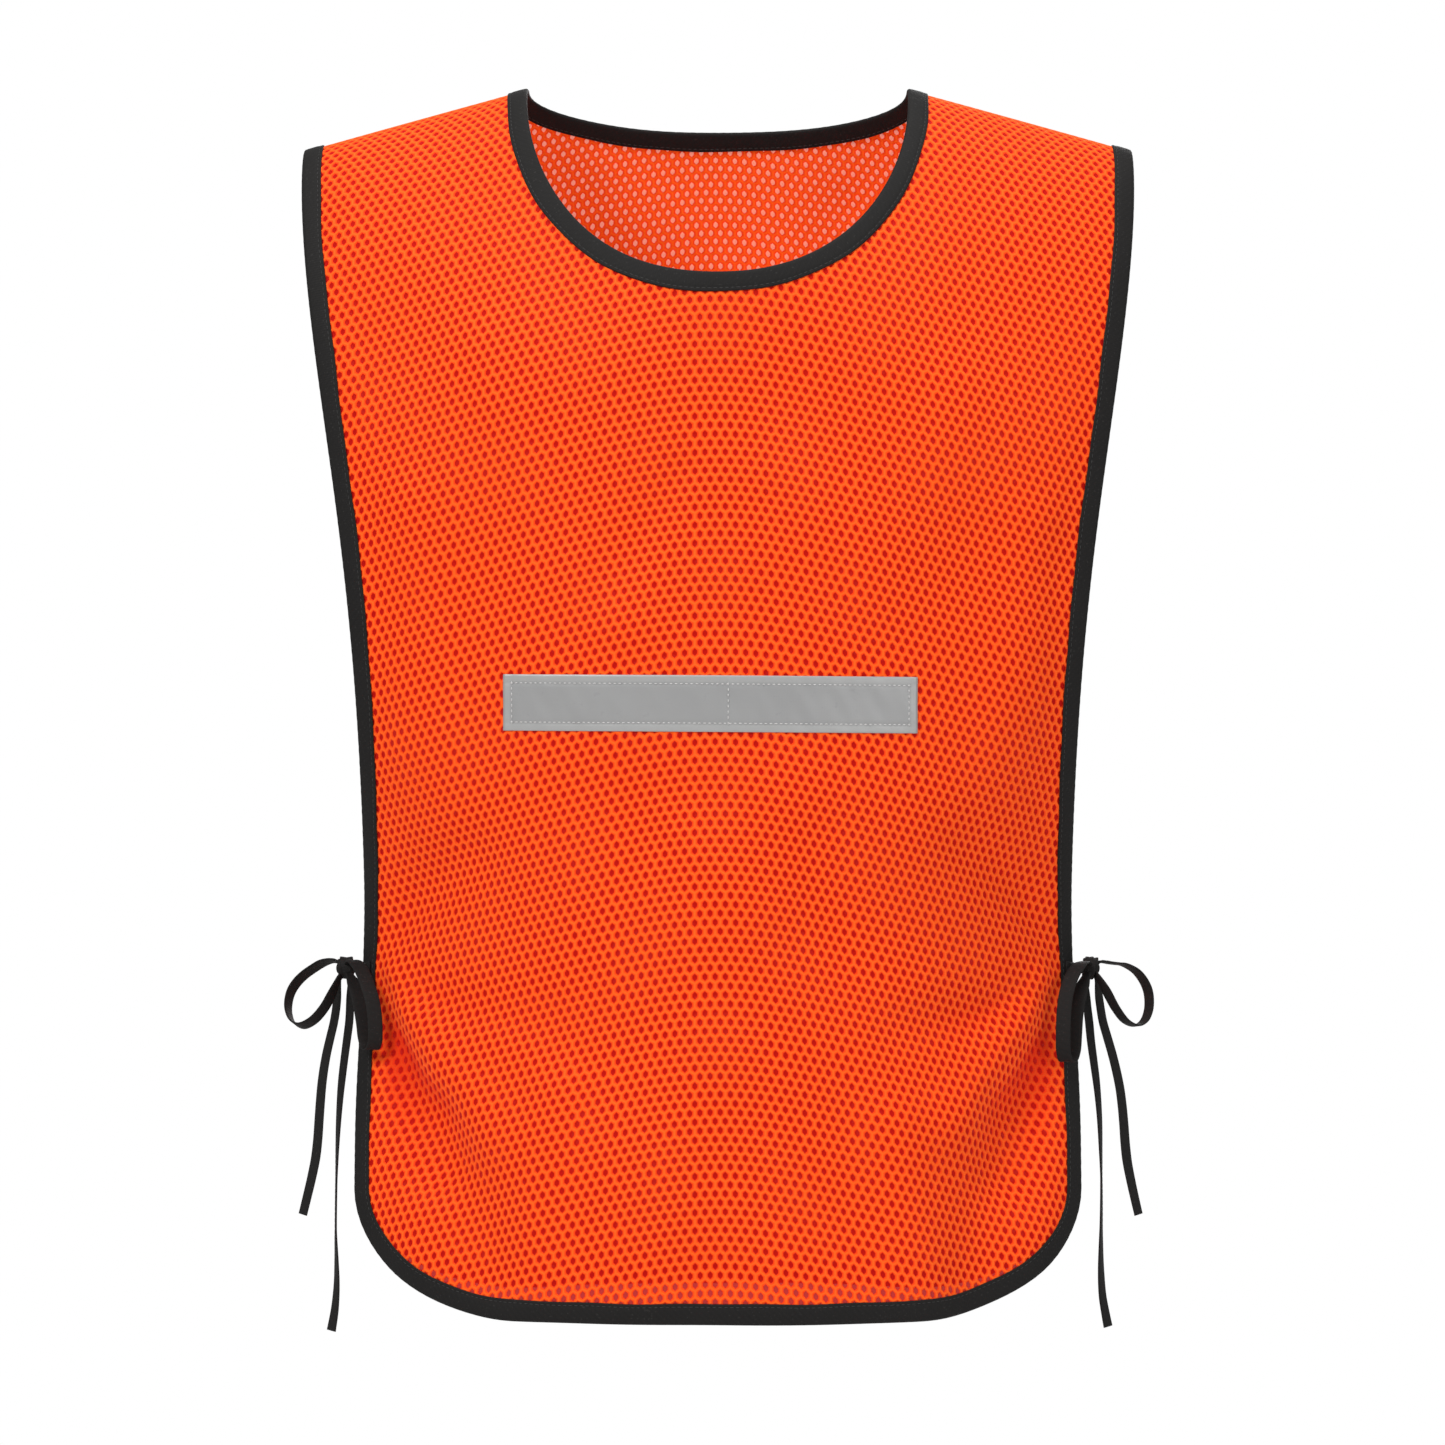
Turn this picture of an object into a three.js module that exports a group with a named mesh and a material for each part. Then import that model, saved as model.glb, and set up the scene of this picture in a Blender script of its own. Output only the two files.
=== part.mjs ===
// A one-size mesh safety tabard: two net panels sewn at the shoulders, bound all round,
// with a reflective strip on each panel and a bow of tape at each side.
//
// Millimetres. +Z is up, +X is to the right as seen from the front, and the front faces -Y.
// The origin is midway between the two neck points, on top of the shoulders that carry the garment.
import * as THREE from 'three';
import { mergeVertices } from 'three/addons/utils/BufferGeometryUtils.js';

const { lerp, smoothstep, degToRad } = THREE.MathUtils;

// Cut of the panels, all measured from the neck points
const length = 665;
const shoulderHalf = 226;
const waistHalf = 192.5;
const hemHalf = 197;
const waistLevel = 430;
const hipLevel = 575;
const sideCurve = 1.3;
const cornerWide = 90;
const cornerHigh = 65;
const neckHalf = 105;
const frontNeckDrop = 109;
const backNeckDrop = 18;
const neckSquareness = 2.15;

// How the cloth sits on the body
const shoulderSlope = 0.287;
const ridgeRound = 45;
const shoulderRound = 180;
const frontDepth = 115;
const backDepth = 108;
const shoulderLoss = 27;
const settleFall = 350;
const armGap = 62;
const hemGap = 35;
const tieLevel = 482;
const tiePinch = 0.9;
const pinchReach = 110;

// Materials and sewing
const clothThick = 0.8;
const bindingWidth = 10;
const bindingWall = 0.6;
const fitGap = 0.3;
const seamWidth = 8;
const seamThick = 0.6;
const seamMargin = 2.5;
const stripLong = 220;
const stripHigh = 30;
const stripThick = 0.5;
const stripLevel = 337;
const stripShift = -4;
const stripGap = 0.4;
const threadInset = 3.5;
const threadWide = 0.6;
const threadThick = 0.35;
const tapeWidth = 8;
const tapeThick = 1.2;
const tieGap = 0.9;
const sewnEnd = 7;
const bartackWide = 1.6;
const bartackHigh = 6;
const bartackThick = 0.6;

// Bows
const knotRadius = 6;
const knotFlat = 0.92;
const knotReach = 12;
const drawnKnotRadius = 6; // the knot that the routes of the bows are drawn around
const gatheredShare = 0.5;
const gatherRun = 14;
const loopSteps = 32;

// How finely the cloth is faceted
const neckSteps = 12;
const chestRows = 8;
const skirtRows = 4;
const cornerSteps = 5;
const halfColumns = 8;

const netOrange = new THREE.MeshStandardMaterial({ color: 0xf2531c, roughness: 0.8, metalness: 0 });
const bindingBlack = new THREE.MeshStandardMaterial({ color: 0x2b2a29, roughness: 0.7, metalness: 0 });
const stripGrey = new THREE.MeshStandardMaterial({ color: 0x9e9e9e, roughness: 0.45, metalness: 0.1 });
const threadGrey = new THREE.MeshStandardMaterial({ color: 0xb4b2ae, roughness: 0.7, metalness: 0 });
const seamOrange = new THREE.MeshStandardMaterial({ color: 0xd9481a, roughness: 0.85, metalness: 0 });

const vest = new THREE.Group();

// ---- The worn surface ----
// A place on the cloth is (x, fall): fall runs down the cloth from the shoulder ridge,
// positive on the front and negative on the back.

function ridgeHeight(x) {
  return shoulderSlope * (Math.hypot(neckHalf, ridgeRound) - Math.hypot(x, ridgeRound));
}

function sideHalf(z) {
  const tip = ridgeHeight(shoulderHalf);
  if (z > -waistLevel) {
    const rise = THREE.MathUtils.clamp((z + waistLevel) / (tip + waistLevel), 0, 1);
    return lerp(waistHalf, shoulderHalf, smoothstep(rise ** sideCurve, 0, 1));
  }
  return lerp(waistHalf, hemHalf, smoothstep(-z, waistLevel, hipLevel));
}

// Half the gap between the front and back side edges, drawn in where the bow ties them
function sideGap(z) {
  const open = lerp(armGap, hemGap, smoothstep(-z, tieLevel - pinchReach, length));
  return open * (1 - tiePinch * Math.exp(-(((z + tieLevel) / pinchReach) ** 2)));
}

function clothPoint(x, fall) {
  const side = fall < 0 ? 1 : -1;
  const along = Math.abs(fall);
  const turn = Math.min(along / shoulderRound, Math.PI / 2);
  const straight = Math.max(0, along - (shoulderRound * Math.PI) / 2);
  const z = ridgeHeight(x) - shoulderRound * (1 - Math.cos(turn)) - straight;
  const fullDepth = fall < 0 ? backDepth : frontDepth;
  const depth = fullDepth - shoulderLoss * (1 - smoothstep(along, 0, settleFall));
  const gap = sideGap(z);
  const across = x / sideHalf(z);
  const reach = Math.sin(turn) * (gap + (depth - gap) * (1 - across * across));
  return new THREE.Vector3(x, side * reach, z);
}

function fallAt(x, z) {
  const drop = ridgeHeight(x) - z;
  if (drop < shoulderRound) return shoulderRound * Math.acos(1 - drop / shoulderRound);
  return (shoulderRound * Math.PI) / 2 + drop - shoulderRound;
}

const nudge = 0.05;

function slopes(x, fall) {
  const acrossSlope = clothPoint(x + nudge, fall).sub(clothPoint(x - nudge, fall)).divideScalar(2 * nudge);
  const fallSlope = clothPoint(x, fall + nudge).sub(clothPoint(x, fall - nudge)).divideScalar(2 * nudge);
  return { acrossSlope, fallSlope };
}

function clothNormal(x, fall) {
  const { acrossSlope, fallSlope } = slopes(x, fall);
  return fallSlope.cross(acrossSlope).normalize();
}

// The place on the cloth that lies `distance` to one side of a line running along `heading`
function stepSideways(place, heading, distance) {
  const { acrossSlope, fallSlope } = slopes(place.x, place.y);
  const a = acrossSlope.dot(acrossSlope);
  const b = acrossSlope.dot(fallSlope);
  const c = fallSlope.dot(fallSlope);
  const turned = new THREE.Vector2(-heading.y, heading.x);
  const step = new THREE.Vector2(c * turned.x - b * turned.y, a * turned.y - b * turned.x);
  const size = Math.sqrt(a * step.x ** 2 + 2 * b * step.x * step.y + c * step.y ** 2);
  return place.clone().addScaledVector(step, distance / size);
}

function raised(place, height) {
  return clothPoint(place.x, place.y).addScaledVector(clothNormal(place.x, place.y), height);
}

// ---- Closed solids ----

function solidFrom(points, triangles) {
  let volume = 0;
  for (const [a, b, c] of triangles) {
    volume += points[a].dot(points[b].clone().cross(points[c]));
  }
  const facing = volume < 0 ? triangles.map(([a, b, c]) => [a, c, b]) : triangles;
  const geometry = new THREE.BufferGeometry();
  geometry.setAttribute('position', new THREE.Float32BufferAttribute(points.flatMap((p) => p.toArray()), 3));
  geometry.setIndex(facing.flat());
  geometry.computeVertexNormals();
  return geometry;
}

// A sheet between two heights over the cloth, from four-cornered cells of cloth places
function sheetSolid(cells, low, high) {
  const places = [];
  const numbers = new Map();
  const numberOf = (place) => {
    const key = `${place.x.toFixed(4)} ${place.y.toFixed(4)}`;
    if (!numbers.has(key)) {
      numbers.set(key, places.length);
      places.push(place);
    }
    return numbers.get(key);
  };
  const flat = [];
  for (const cell of cells) {
    const [a, b, c, d] = cell.map(numberOf);
    flat.push([a, b, c], [a, c, d]);
  }
  const upper = places.map((place) => raised(place, high));
  const lower = places.map((place) => raised(place, low));
  const count = places.length;
  const edges = new Set();
  for (const [a, b, c] of flat) {
    edges.add(`${a} ${b}`).add(`${b} ${c}`).add(`${c} ${a}`);
  }
  const triangles = [...flat];
  for (const [a, b, c] of flat) triangles.push([a + count, c + count, b + count]);
  for (const edge of edges) {
    const [a, b] = edge.split(' ').map(Number);
    if (!edges.has(`${b} ${a}`)) triangles.push([b, a, a + count], [b, a + count, b + count]);
  }
  return solidFrom([...upper, ...lower], triangles);
}

// A skin over a row of sections with the same number of corners, closed into a loop or capped.
// The faces that start at a corner in `turned` are split the other way.
function skinSolid(sections, isLoop, turned = []) {
  const corners = sections[0].length;
  const points = sections.flat();
  const triangles = [];
  const spans = isLoop ? sections.length : sections.length - 1;
  for (let s = 0; s < spans; s += 1) {
    const here = s * corners;
    const there = ((s + 1) % sections.length) * corners;
    for (let c = 0; c < corners; c += 1) {
      const next = (c + 1) % corners;
      if (turned.includes(c)) {
        triangles.push([here + c, here + next, there + c], [here + next, there + next, there + c]);
      } else {
        triangles.push([here + c, here + next, there + next], [here + c, there + next, there + c]);
      }
    }
  }
  if (!isLoop) {
    const last = (sections.length - 1) * corners;
    for (let c = 1; c < corners - 1; c += 1) {
      triangles.push([0, c + 1, c], [last, last + c, last + c + 1]);
    }
  }
  return solidFrom(points, triangles);
}

// ---- Cut edges of a quarter of the garment, from the ridge to its middle line ----

function neckPlaces(drop) {
  const finePlaces = [];
  const fineSteps = 400;
  for (let i = 0; i <= fineSteps; i += 1) {
    const angle = (i / fineSteps) * (Math.PI / 2);
    const x = neckHalf * Math.cos(angle) ** (2 / neckSquareness);
    const z = -drop * Math.sin(angle) ** (2 / neckSquareness);
    finePlaces.push(new THREE.Vector2(x, fallAt(x, z)));
  }
  finePlaces[0].set(neckHalf, 0);
  finePlaces[fineSteps].x = 0;
  return spacedAlong(finePlaces, neckSteps);
}

// The first step is just wider than the shoulder seam, and the rest are even
function spacedAlong(places, steps) {
  const firstRun = seamWidth / 2 + seamMargin;
  const runs = [0];
  for (let i = 1; i < places.length; i += 1) {
    const here = clothPoint(places[i].x, places[i].y);
    runs.push(runs[i - 1] + here.distanceTo(clothPoint(places[i - 1].x, places[i - 1].y)));
  }
  const picked = [places[0]];
  let i = 1;
  for (let step = 1; step < steps; step += 1) {
    const run = lerp(firstRun, runs[runs.length - 1], (step - 1) / (steps - 1));
    while (runs[i] < run) i += 1;
    const share = (run - runs[i - 1]) / (runs[i] - runs[i - 1]);
    picked.push(places[i - 1].clone().lerp(places[i], share));
  }
  return [...picked, places[places.length - 1]];
}

// The line that lies a binding's width inside a cut edge; mirror images stand in past its two ends
function insetPlaces(places, width) {
  const first = new THREE.Vector2(places[1].x, -places[1].y);
  const beforeLast = places[places.length - 2];
  const last = new THREE.Vector2(-beforeLast.x, beforeLast.y);
  const padded = [first, ...places, last];
  return places.map((place, i) => stepSideways(place, padded[i + 2].clone().sub(padded[i]), width));
}

// Where the side edge is as far down the cloth as `fall`
function sidePlace(fall) {
  let x = shoulderHalf;
  for (let round = 0; round < 12; round += 1) x = sideHalf(clothPoint(x, fall).z);
  return new THREE.Vector2(x, fall);
}

function sidePlaceAt(z) {
  return new THREE.Vector2(sideHalf(z), fallAt(sideHalf(z), z));
}

function outerPlaces(neckInset) {
  const places = neckInset.map((place, k) => (k === 0 ? sidePlace(0) : sidePlace(place.y)));
  const chestTop = clothPoint(places[neckSteps].x, places[neckSteps].y).z;
  const cornerTop = -(length - cornerHigh);
  for (let k = 1; k <= chestRows; k += 1) places.push(sidePlaceAt(lerp(chestTop, -tieLevel, k / chestRows)));
  for (let k = 1; k <= skirtRows; k += 1) places.push(sidePlaceAt(lerp(-tieLevel, cornerTop, k / skirtRows)));
  const cornerX = hemHalf - cornerWide;
  for (let k = 1; k <= cornerSteps; k += 1) {
    const angle = (k / cornerSteps) * (Math.PI / 2);
    const x = cornerX + cornerWide * Math.cos(angle);
    places.push(new THREE.Vector2(x, fallAt(x, cornerTop - cornerHigh * Math.sin(angle))));
  }
  for (let i = 1; i <= halfColumns; i += 1) {
    const x = cornerX * (1 - i / halfColumns);
    places.push(new THREE.Vector2(x, fallAt(x, -length)));
  }
  return places;
}

const rowCount = neckSteps + chestRows + skirtRows + cornerSteps;
const tieRow = neckSteps + chestRows;

function quarterCut(neckDrop) {
  const neck = neckPlaces(neckDrop);
  const neckInset = insetPlaces(neck, -bindingWidth);
  const outer = outerPlaces(neckInset);
  const outerInset = insetPlaces(outer, bindingWidth);
  return { neck, neckInset, outer, outerInset };
}

const frontCut = quarterCut(frontNeckDrop);
const backCut = quarterCut(backNeckDrop);

// ---- Panels ----

const alongRidge = new THREE.Vector2(1, 0);
const downCloth = new THREE.Vector2(0, 1);

// Rows of places from the side to the neck or the middle line
function clothRows(cut) {
  const neckEnd = cut.neckInset[neckSteps];
  const neckEndZ = clothPoint(neckEnd.x, neckEnd.y).z;
  const rows = [];
  for (let k = 0; k < rowCount; k += 1) {
    const start = cut.outerInset[k];
    let end = cut.neckInset[k];
    if (k > neckSteps) {
      const startZ = clothPoint(start.x, start.y).z;
      const endZ = k < tieRow ? lerp(neckEndZ, -tieLevel, (k - neckSteps) / chestRows) : startZ;
      end = new THREE.Vector2(0, fallAt(0, endZ));
    }
    const row = [];
    for (let i = 0; i <= halfColumns; i += 1) row.push(start.clone().lerp(end, i / halfColumns));
    rows.push(row);
  }
  rows.push(cut.outerInset.slice(rowCount));
  return rows;
}

function quarterCells(cut) {
  const rows = clothRows(cut);
  const cells = [];
  for (let k = 0; k < rowCount; k += 1) {
    for (let i = 0; i < halfColumns; i += 1) {
      cells.push([rows[k][i], rows[k + 1][i], rows[k + 1][i + 1], rows[k][i + 1]]);
    }
  }
  for (let k = 0; k < cut.outer.length - 1; k += 1) {
    cells.push([cut.outer[k], cut.outer[k + 1], cut.outerInset[k + 1], cut.outerInset[k]]);
  }
  for (let k = 0; k < neckSteps; k += 1) {
    cells.push([cut.neckInset[k + 1], cut.neck[k + 1], cut.neck[k], cut.neckInset[k]]);
  }
  return cells;
}

const mirrored = (place) => new THREE.Vector2(place.x === 0 ? 0 : -place.x, place.y);
const onBack = (place) => new THREE.Vector2(place.x, -place.y);

function panel(cut, isBack) {
  const ridgeMiddle = new THREE.Vector2((neckHalf + shoulderHalf) / 2, 0);
  const seamFall = stepSideways(ridgeMiddle, alongRidge, fitGap / 2).y;
  const offRidge = (place) => new THREE.Vector2(place.x, Math.max(place.y, seamFall));
  const right = quarterCells(cut).map((cell) => cell.map(offRidge));
  const left = right.map((cell) => cell.map(mirrored).reverse());
  const cells = [...right, ...left];
  const placed = isBack ? cells.map((cell) => cell.map(onBack).reverse()) : cells;
  return sheetSolid(placed, -clothThick / 2, clothThick / 2);
}

// ---- Bindings: a folded band, U-shaped in section, over the edge and its inset line ----

function bandSection(edge, inset) {
  const inner = clothThick / 2 + fitGap;
  const outer = inner + bindingWall;
  const normal = clothNormal(edge.x, edge.y);
  const middle = clothPoint(edge.x, edge.y);
  const outward = middle.clone().sub(clothPoint(inset.x, inset.y)).normalize();
  const atEdge = (reach, height) => middle.clone().addScaledVector(outward, reach).addScaledVector(normal, height);
  return [
    raised(inset, inner),
    raised(inset, outer),
    atEdge(fitGap + bindingWall, outer),
    atEdge(fitGap + bindingWall, -outer),
    raised(inset, -outer),
    raised(inset, -inner),
    atEdge(fitGap, -inner),
    atEdge(fitGap, inner),
  ];
}

// The legs that start at their inset line, so that they crease along the same lines as the panel
const legStarts = [1, 5];

function band(frontEdge, frontInset, backEdge, backInset) {
  const quarter = (edge, inset) => edge.map((place, k) => [place, inset[k]]);
  const front = quarter(frontEdge, frontInset);
  const back = quarter(backEdge, backInset);
  const flip = (pair) => pair.map(mirrored);
  const behind = (pair) => pair.map(onBack);
  const loop = [
    ...front,
    ...front.slice(0, -1).reverse().map(flip),
    ...back.slice(1).map(behind).map(flip),
    ...back.slice(1, -1).reverse().map(behind),
  ];
  return skinSolid(loop.map(([edge, inset]) => bandSection(edge, inset)), true, legStarts);
}

// ---- Shoulder seams: the overlocked allowance under the ridge ----

function shoulderSeam(hand) {
  const inner = frontCut.neckInset[0].x + fitGap;
  const outer = frontCut.outerInset[0].x - fitGap;
  const columns = 6;
  const ridgeLine = [];
  for (let i = 0; i <= columns; i += 1) {
    ridgeLine.push(new THREE.Vector2(hand * lerp(inner, outer, i / columns), 0));
  }
  const fore = ridgeLine.map((place) => stepSideways(place, alongRidge, seamWidth / 2));
  const aft = ridgeLine.map((place) => stepSideways(place, alongRidge, -seamWidth / 2));
  const cells = [];
  for (let i = 0; i < columns; i += 1) {
    cells.push([aft[i], aft[i + 1], ridgeLine[i + 1], ridgeLine[i]]);
    cells.push([ridgeLine[i], ridgeLine[i + 1], fore[i + 1], fore[i]]);
  }
  const top = -(clothThick / 2 + fitGap);
  return sheetSolid(cells, top - seamThick, top);
}

// ---- Reflective strips and the stitching that holds them ----

function stripPlace(side, x, rise) {
  const placed = x + stripShift;
  return new THREE.Vector2(placed, side * fallAt(placed, -stripLevel + rise));
}

function gridCells(side, xs, rises, isHole) {
  const cells = [];
  for (let i = 0; i < xs.length - 1; i += 1) {
    for (let j = 0; j < rises.length - 1; j += 1) {
      if (isHole(i, j)) continue;
      cells.push([
        stripPlace(side, xs[i], rises[j]),
        stripPlace(side, xs[i + 1], rises[j]),
        stripPlace(side, xs[i + 1], rises[j + 1]),
        stripPlace(side, xs[i], rises[j + 1]),
      ]);
    }
  }
  return cells;
}

const stripBase = clothThick / 2 + stripGap;

function reflectiveStrip(side) {
  const columns = 16;
  const xs = Array.from({ length: columns + 1 }, (_, i) => stripLong * (i / columns - 0.5));
  return sheetSolid(gridCells(side, xs, [-stripHigh / 2, stripHigh / 2], () => false), stripBase,
    stripBase + stripThick);
}

// A frame just inside the strip's rim with one bar up its middle
function stripStitching(side) {
  const spans = 7;
  const halfLong = stripLong / 2 - threadInset;
  const halfHigh = stripHigh / 2 - threadInset;
  const rises = [-halfHigh, -halfHigh + threadWide, halfHigh - threadWide, halfHigh];
  const xs = [-halfLong];
  for (let i = 0; i <= spans; i += 1) {
    xs.push(lerp(-halfLong + threadWide, -threadWide / 2, i / spans));
  }
  const half = [...xs];
  for (const x of half.reverse()) xs.push(-x);
  const middleColumn = spans + 1;
  const lastColumn = xs.length - 2;
  const isHole = (i, j) => j === 1 && i !== 0 && i !== middleColumn && i !== lastColumn;
  const base = stripBase + stripThick + fitGap;
  return sheetSolid(gridCells(side, xs, rises, isHole), base, base + threadThick);
}

// ---- Bows ----
// A place near a knot is (out, fore, up) from the knot's middle: out is away from the body,
// fore is towards the front.

const knotX = waistHalf + knotReach;

function nearKnot(hand, [out, fore, up]) {
  const offset = new THREE.Vector3(hand * out, -fore, up);
  offset.setLength(offset.length() + knotRadius - drawnKnotRadius);
  return offset.add(new THREE.Vector3(hand * knotX, 0, -tieLevel));
}

function directionNearKnot(hand, [out, fore, up]) {
  return new THREE.Vector3(hand * out, -fore, up).normalize();
}

// A tape laid along a line, gathered where it leaves a knot; `knotEnds` says which ends do
function tape(line, steps, acrossAt, knotEnds = []) {
  const whole = line.getLength();
  const widthAt = (share) => knotEnds.reduce((width, end) => {
    const run = Math.abs(share - end) * whole;
    return Math.min(width, tapeWidth * lerp(gatheredShare, 1, smoothstep(run, 0, gatherRun)));
  }, tapeWidth);
  const sections = [];
  for (let s = 0; s <= steps; s += 1) {
    const share = s / steps;
    const middle = line.getPointAt(share);
    const heading = line.getTangentAt(share);
    const across = acrossAt(share).addScaledVector(heading, -acrossAt(share).dot(heading)).normalize();
    const normal = heading.clone().cross(across);
    const corner = (w, t) => middle.clone()
      .addScaledVector(across, (w * widthAt(share)) / 2)
      .addScaledVector(normal, (t * tapeThick) / 2);
    sections.push([corner(1, 1), corner(-1, 1), corner(-1, -1), corner(1, -1)]);
  }
  return skinSolid(sections, false);
}

function bowLoop(hand, { route, across }) {
  const line = new THREE.CatmullRomCurve3(route.map((offset) => nearKnot(hand, offset)));
  return tape(line, loopSteps, () => directionNearKnot(hand, across), [0, 1]);
}

// A tail turns about its own line as it hangs; `turns` are angles from the garment's width
function bowTail(hand, { route, turns }) {
  const line = new THREE.CatmullRomCurve3(route.map((offset) => nearKnot(hand, offset)));
  const turnAt = (share) => {
    const place = share * (turns.length - 1);
    const before = Math.min(Math.floor(place), turns.length - 2);
    return degToRad(lerp(turns[before], turns[before + 1], place - before));
  };
  const steps = Math.round(line.getLength() / tapeWidth) + 4;
  return tape(line, steps, (share) => {
    return directionNearKnot(hand, [Math.cos(turnAt(share)), Math.sin(turnAt(share)), 0]);
  }, [0]);
}

const leftBow = {
  outer_loop: {
    across: [0.45, 0.77, 0.45],
    route: [
      [4.9, -2.6, 3.4], [8.6, -4.8, 3.8], [13.5, -6.8, 2.4], [19, -8, -0.9], [23.6, -8.2, -4.2],
      [27.6, -7.6, -8.2], [30.6, -6.2, -13], [32, -4.2, -18.6], [31.8, -1.8, -24.2], [29.4, 0.8, -29.4],
      [24.6, 3.8, -31.6], [17.9, 6.8, -28.6], [11.8, 8.4, -22], [7.4, 8.2, -14.2], [3.6, 5, -5.6],
    ],
  },
  inner_loop: {
    across: [1, 0.15, 0],
    route: [
      [-1.6, 5.9, 3.2], [-4.6, 12, 4.4], [-8.4, 18.4, 1.6], [-11.6, 24, -3.6], [-14.4, 28.4, -10],
      [-16.6, 31, -17.4], [-17.8, 32.6, -25], [-18.2, 33.2, -32], [-18, 32.6, -38.4], [-16.4, 30, -42.4],
      [-13.8, 26.6, -42], [-12, 24.2, -37], [-11, 22.6, -29.6], [-9.6, 21, -21.6], [-7.6, 18, -13.6],
      [-4.8, 12.6, -7.2], [-2.2, 6.2, -3.2],
    ],
  },
  outer_tail: {
    turns: [-56, -52, -50, -48, -52],
    route: [
      [3.8, 0, -5.6], [4.4, 0, -10], [4.8, 0.2, -15], [5.4, 0.4, -22], [6.6, 0.5, -29.5],
      [8.6, 0.5, -38], [10.6, 0.4, -46.6], [12.2, 0.2, -55.4], [13.4, -0.1, -64.6], [14.2, -0.3, -74],
      [14.9, -0.4, -84], [15.6, -0.5, -94], [16.8, -0.5, -104.4], [19, -0.4, -115.4],
      [21.4, -0.2, -125.6], [23.8, 0.2, -135.6],
    ],
  },
  inner_tail: {
    turns: [-56, -54, -58, -70, -84, -84, -66, -50],
    route: [
      [-2.2, 0, -6.4], [-2.3, 0, -12], [-2.2, 0.3, -20], [-1.8, 0.5, -29], [-0.4, 0.6, -40],
      [1.2, 0.5, -52], [2.8, 0.3, -66], [4, 0, -82], [4.8, -0.2, -98], [5.3, -0.4, -114],
      [5.6, -0.5, -130], [5.7, -0.5, -146], [5.3, -0.4, -160], [5.2, -0.1, -174],
      [6.2, 0.2, -187.6], [8.1, 0.5, -199.4],
    ],
  },
};

const rightBow = {
  outer_loop: {
    across: [0.55, 0.8, 0.1],
    route: [
      [5.2, -2.4, 3.3], [8.2, -4.2, 3.2], [11.4, -5.8, 2.6], [15, -7.2, 2.1], [18.8, -8.2, 1.6],
      [22.6, -8.8, 0], [26.4, -8.8, -2.6], [29.8, -8, -6.8], [32.2, -6.4, -12], [33, -4, -18],
      [32.2, -1.2, -24.2], [29.6, 1.8, -29.2], [25.2, 4.8, -31.4], [19.4, 7.6, -29], [13.8, 9.2, -22],
      [9, 8.6, -13.2], [4.4, 5, -5.2],
    ],
  },
  inner_loop: {
    across: [1, 0.15, 0],
    route: [
      [-1.8, 5.8, 3.2], [-5.4, 12.2, 3], [-9.4, 18.6, -0.8], [-12.6, 24, -6.6], [-14.8, 28, -13],
      [-16, 30.8, -20.4], [-16.6, 32.8, -28.6], [-16.8, 33.8, -36.6], [-16.6, 33.6, -43.6],
      [-15.2, 31.4, -48.6], [-12.6, 28.2, -48.8], [-10.6, 25.8, -44], [-9.8, 24, -35.8],
      [-9.2, 22.4, -27.6], [-8.2, 20, -19.6], [-6, 15.6, -11.8], [-3.6, 10, -6.6], [-2, 6.3, -3.2],
    ],
  },
  outer_tail: {
    turns: [-56, -52, -50, -48, -52],
    route: [
      [3.8, 0, -5.6], [4.6, 0, -12], [5.6, 0.2, -20], [7.2, 0.4, -29.5], [9.6, 0.5, -38],
      [12.2, 0.4, -47], [14.6, 0.2, -56.6], [16.6, -0.1, -66.4], [17.9, -0.3, -76.4],
      [18.8, -0.4, -86.4], [19.5, -0.5, -96.4], [20.6, -0.5, -106.4], [22.6, -0.3, -117],
      [24.8, -0.1, -127], [26.8, 0.2, -135.6],
    ],
  },
  inner_tail: {
    turns: [-56, -54, -58, -70, -84, -78, -62, -50],
    route: [
      [-2.2, 0, -6.4], [-2, 0, -13], [-1.4, 0.3, -21], [-0.4, 0.5, -29.5], [0.6, 0.6, -40],
      [2.2, 0.5, -52], [4, 0.3, -66], [5.4, 0, -83], [6, -0.2, -100], [6.4, -0.4, -116.4],
      [6.4, -0.5, -133], [6.2, -0.5, -149.4], [6.2, -0.3, -165.9], [7, 0, -180.2],
      [8.8, 0.3, -191], [10, 0.5, -197.2],
    ],
  },
};

function knot() {
  const ball = new THREE.SphereGeometry(knotRadius, 16, 10);
  ball.deleteAttribute('normal');
  ball.deleteAttribute('uv');
  ball.rotateZ(Math.PI / 2);
  ball.scale(knotFlat, 1, 1);
  return mergeVertices(ball);
}

// Height over the cloth where a sewn end lies; the binding rises a little on both sides of the tie
const tieSeat = clothThick / 2 + fitGap + bindingWall + tieGap;

// The sewn end of a tie: flat on the binding, then over the edge to the knot
function tieEnd(hand, side) {
  const cut = side > 0 ? frontCut : backCut;
  const height = tieSeat + tapeThick / 2;
  const lift = (inset) => {
    const place = stepSideways(cut.outer[tieRow], downCloth, inset);
    return raised(new THREE.Vector2(hand * place.x, side * place.y), height);
  };
  const knotSide = new THREE.Vector3(
    hand * (knotX - knotRadius * knotFlat - fitGap),
    -side * (tapeThick + fitGap),
    -tieLevel,
  );
  const line = new THREE.CatmullRomCurve3([
    lift(sewnEnd),
    lift(sewnEnd / 2),
    lift(0),
    lift(0).lerp(knotSide, 0.55),
    knotSide,
  ]);
  return tape(line, 10, () => new THREE.Vector3(0, 0, 1));
}

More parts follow.
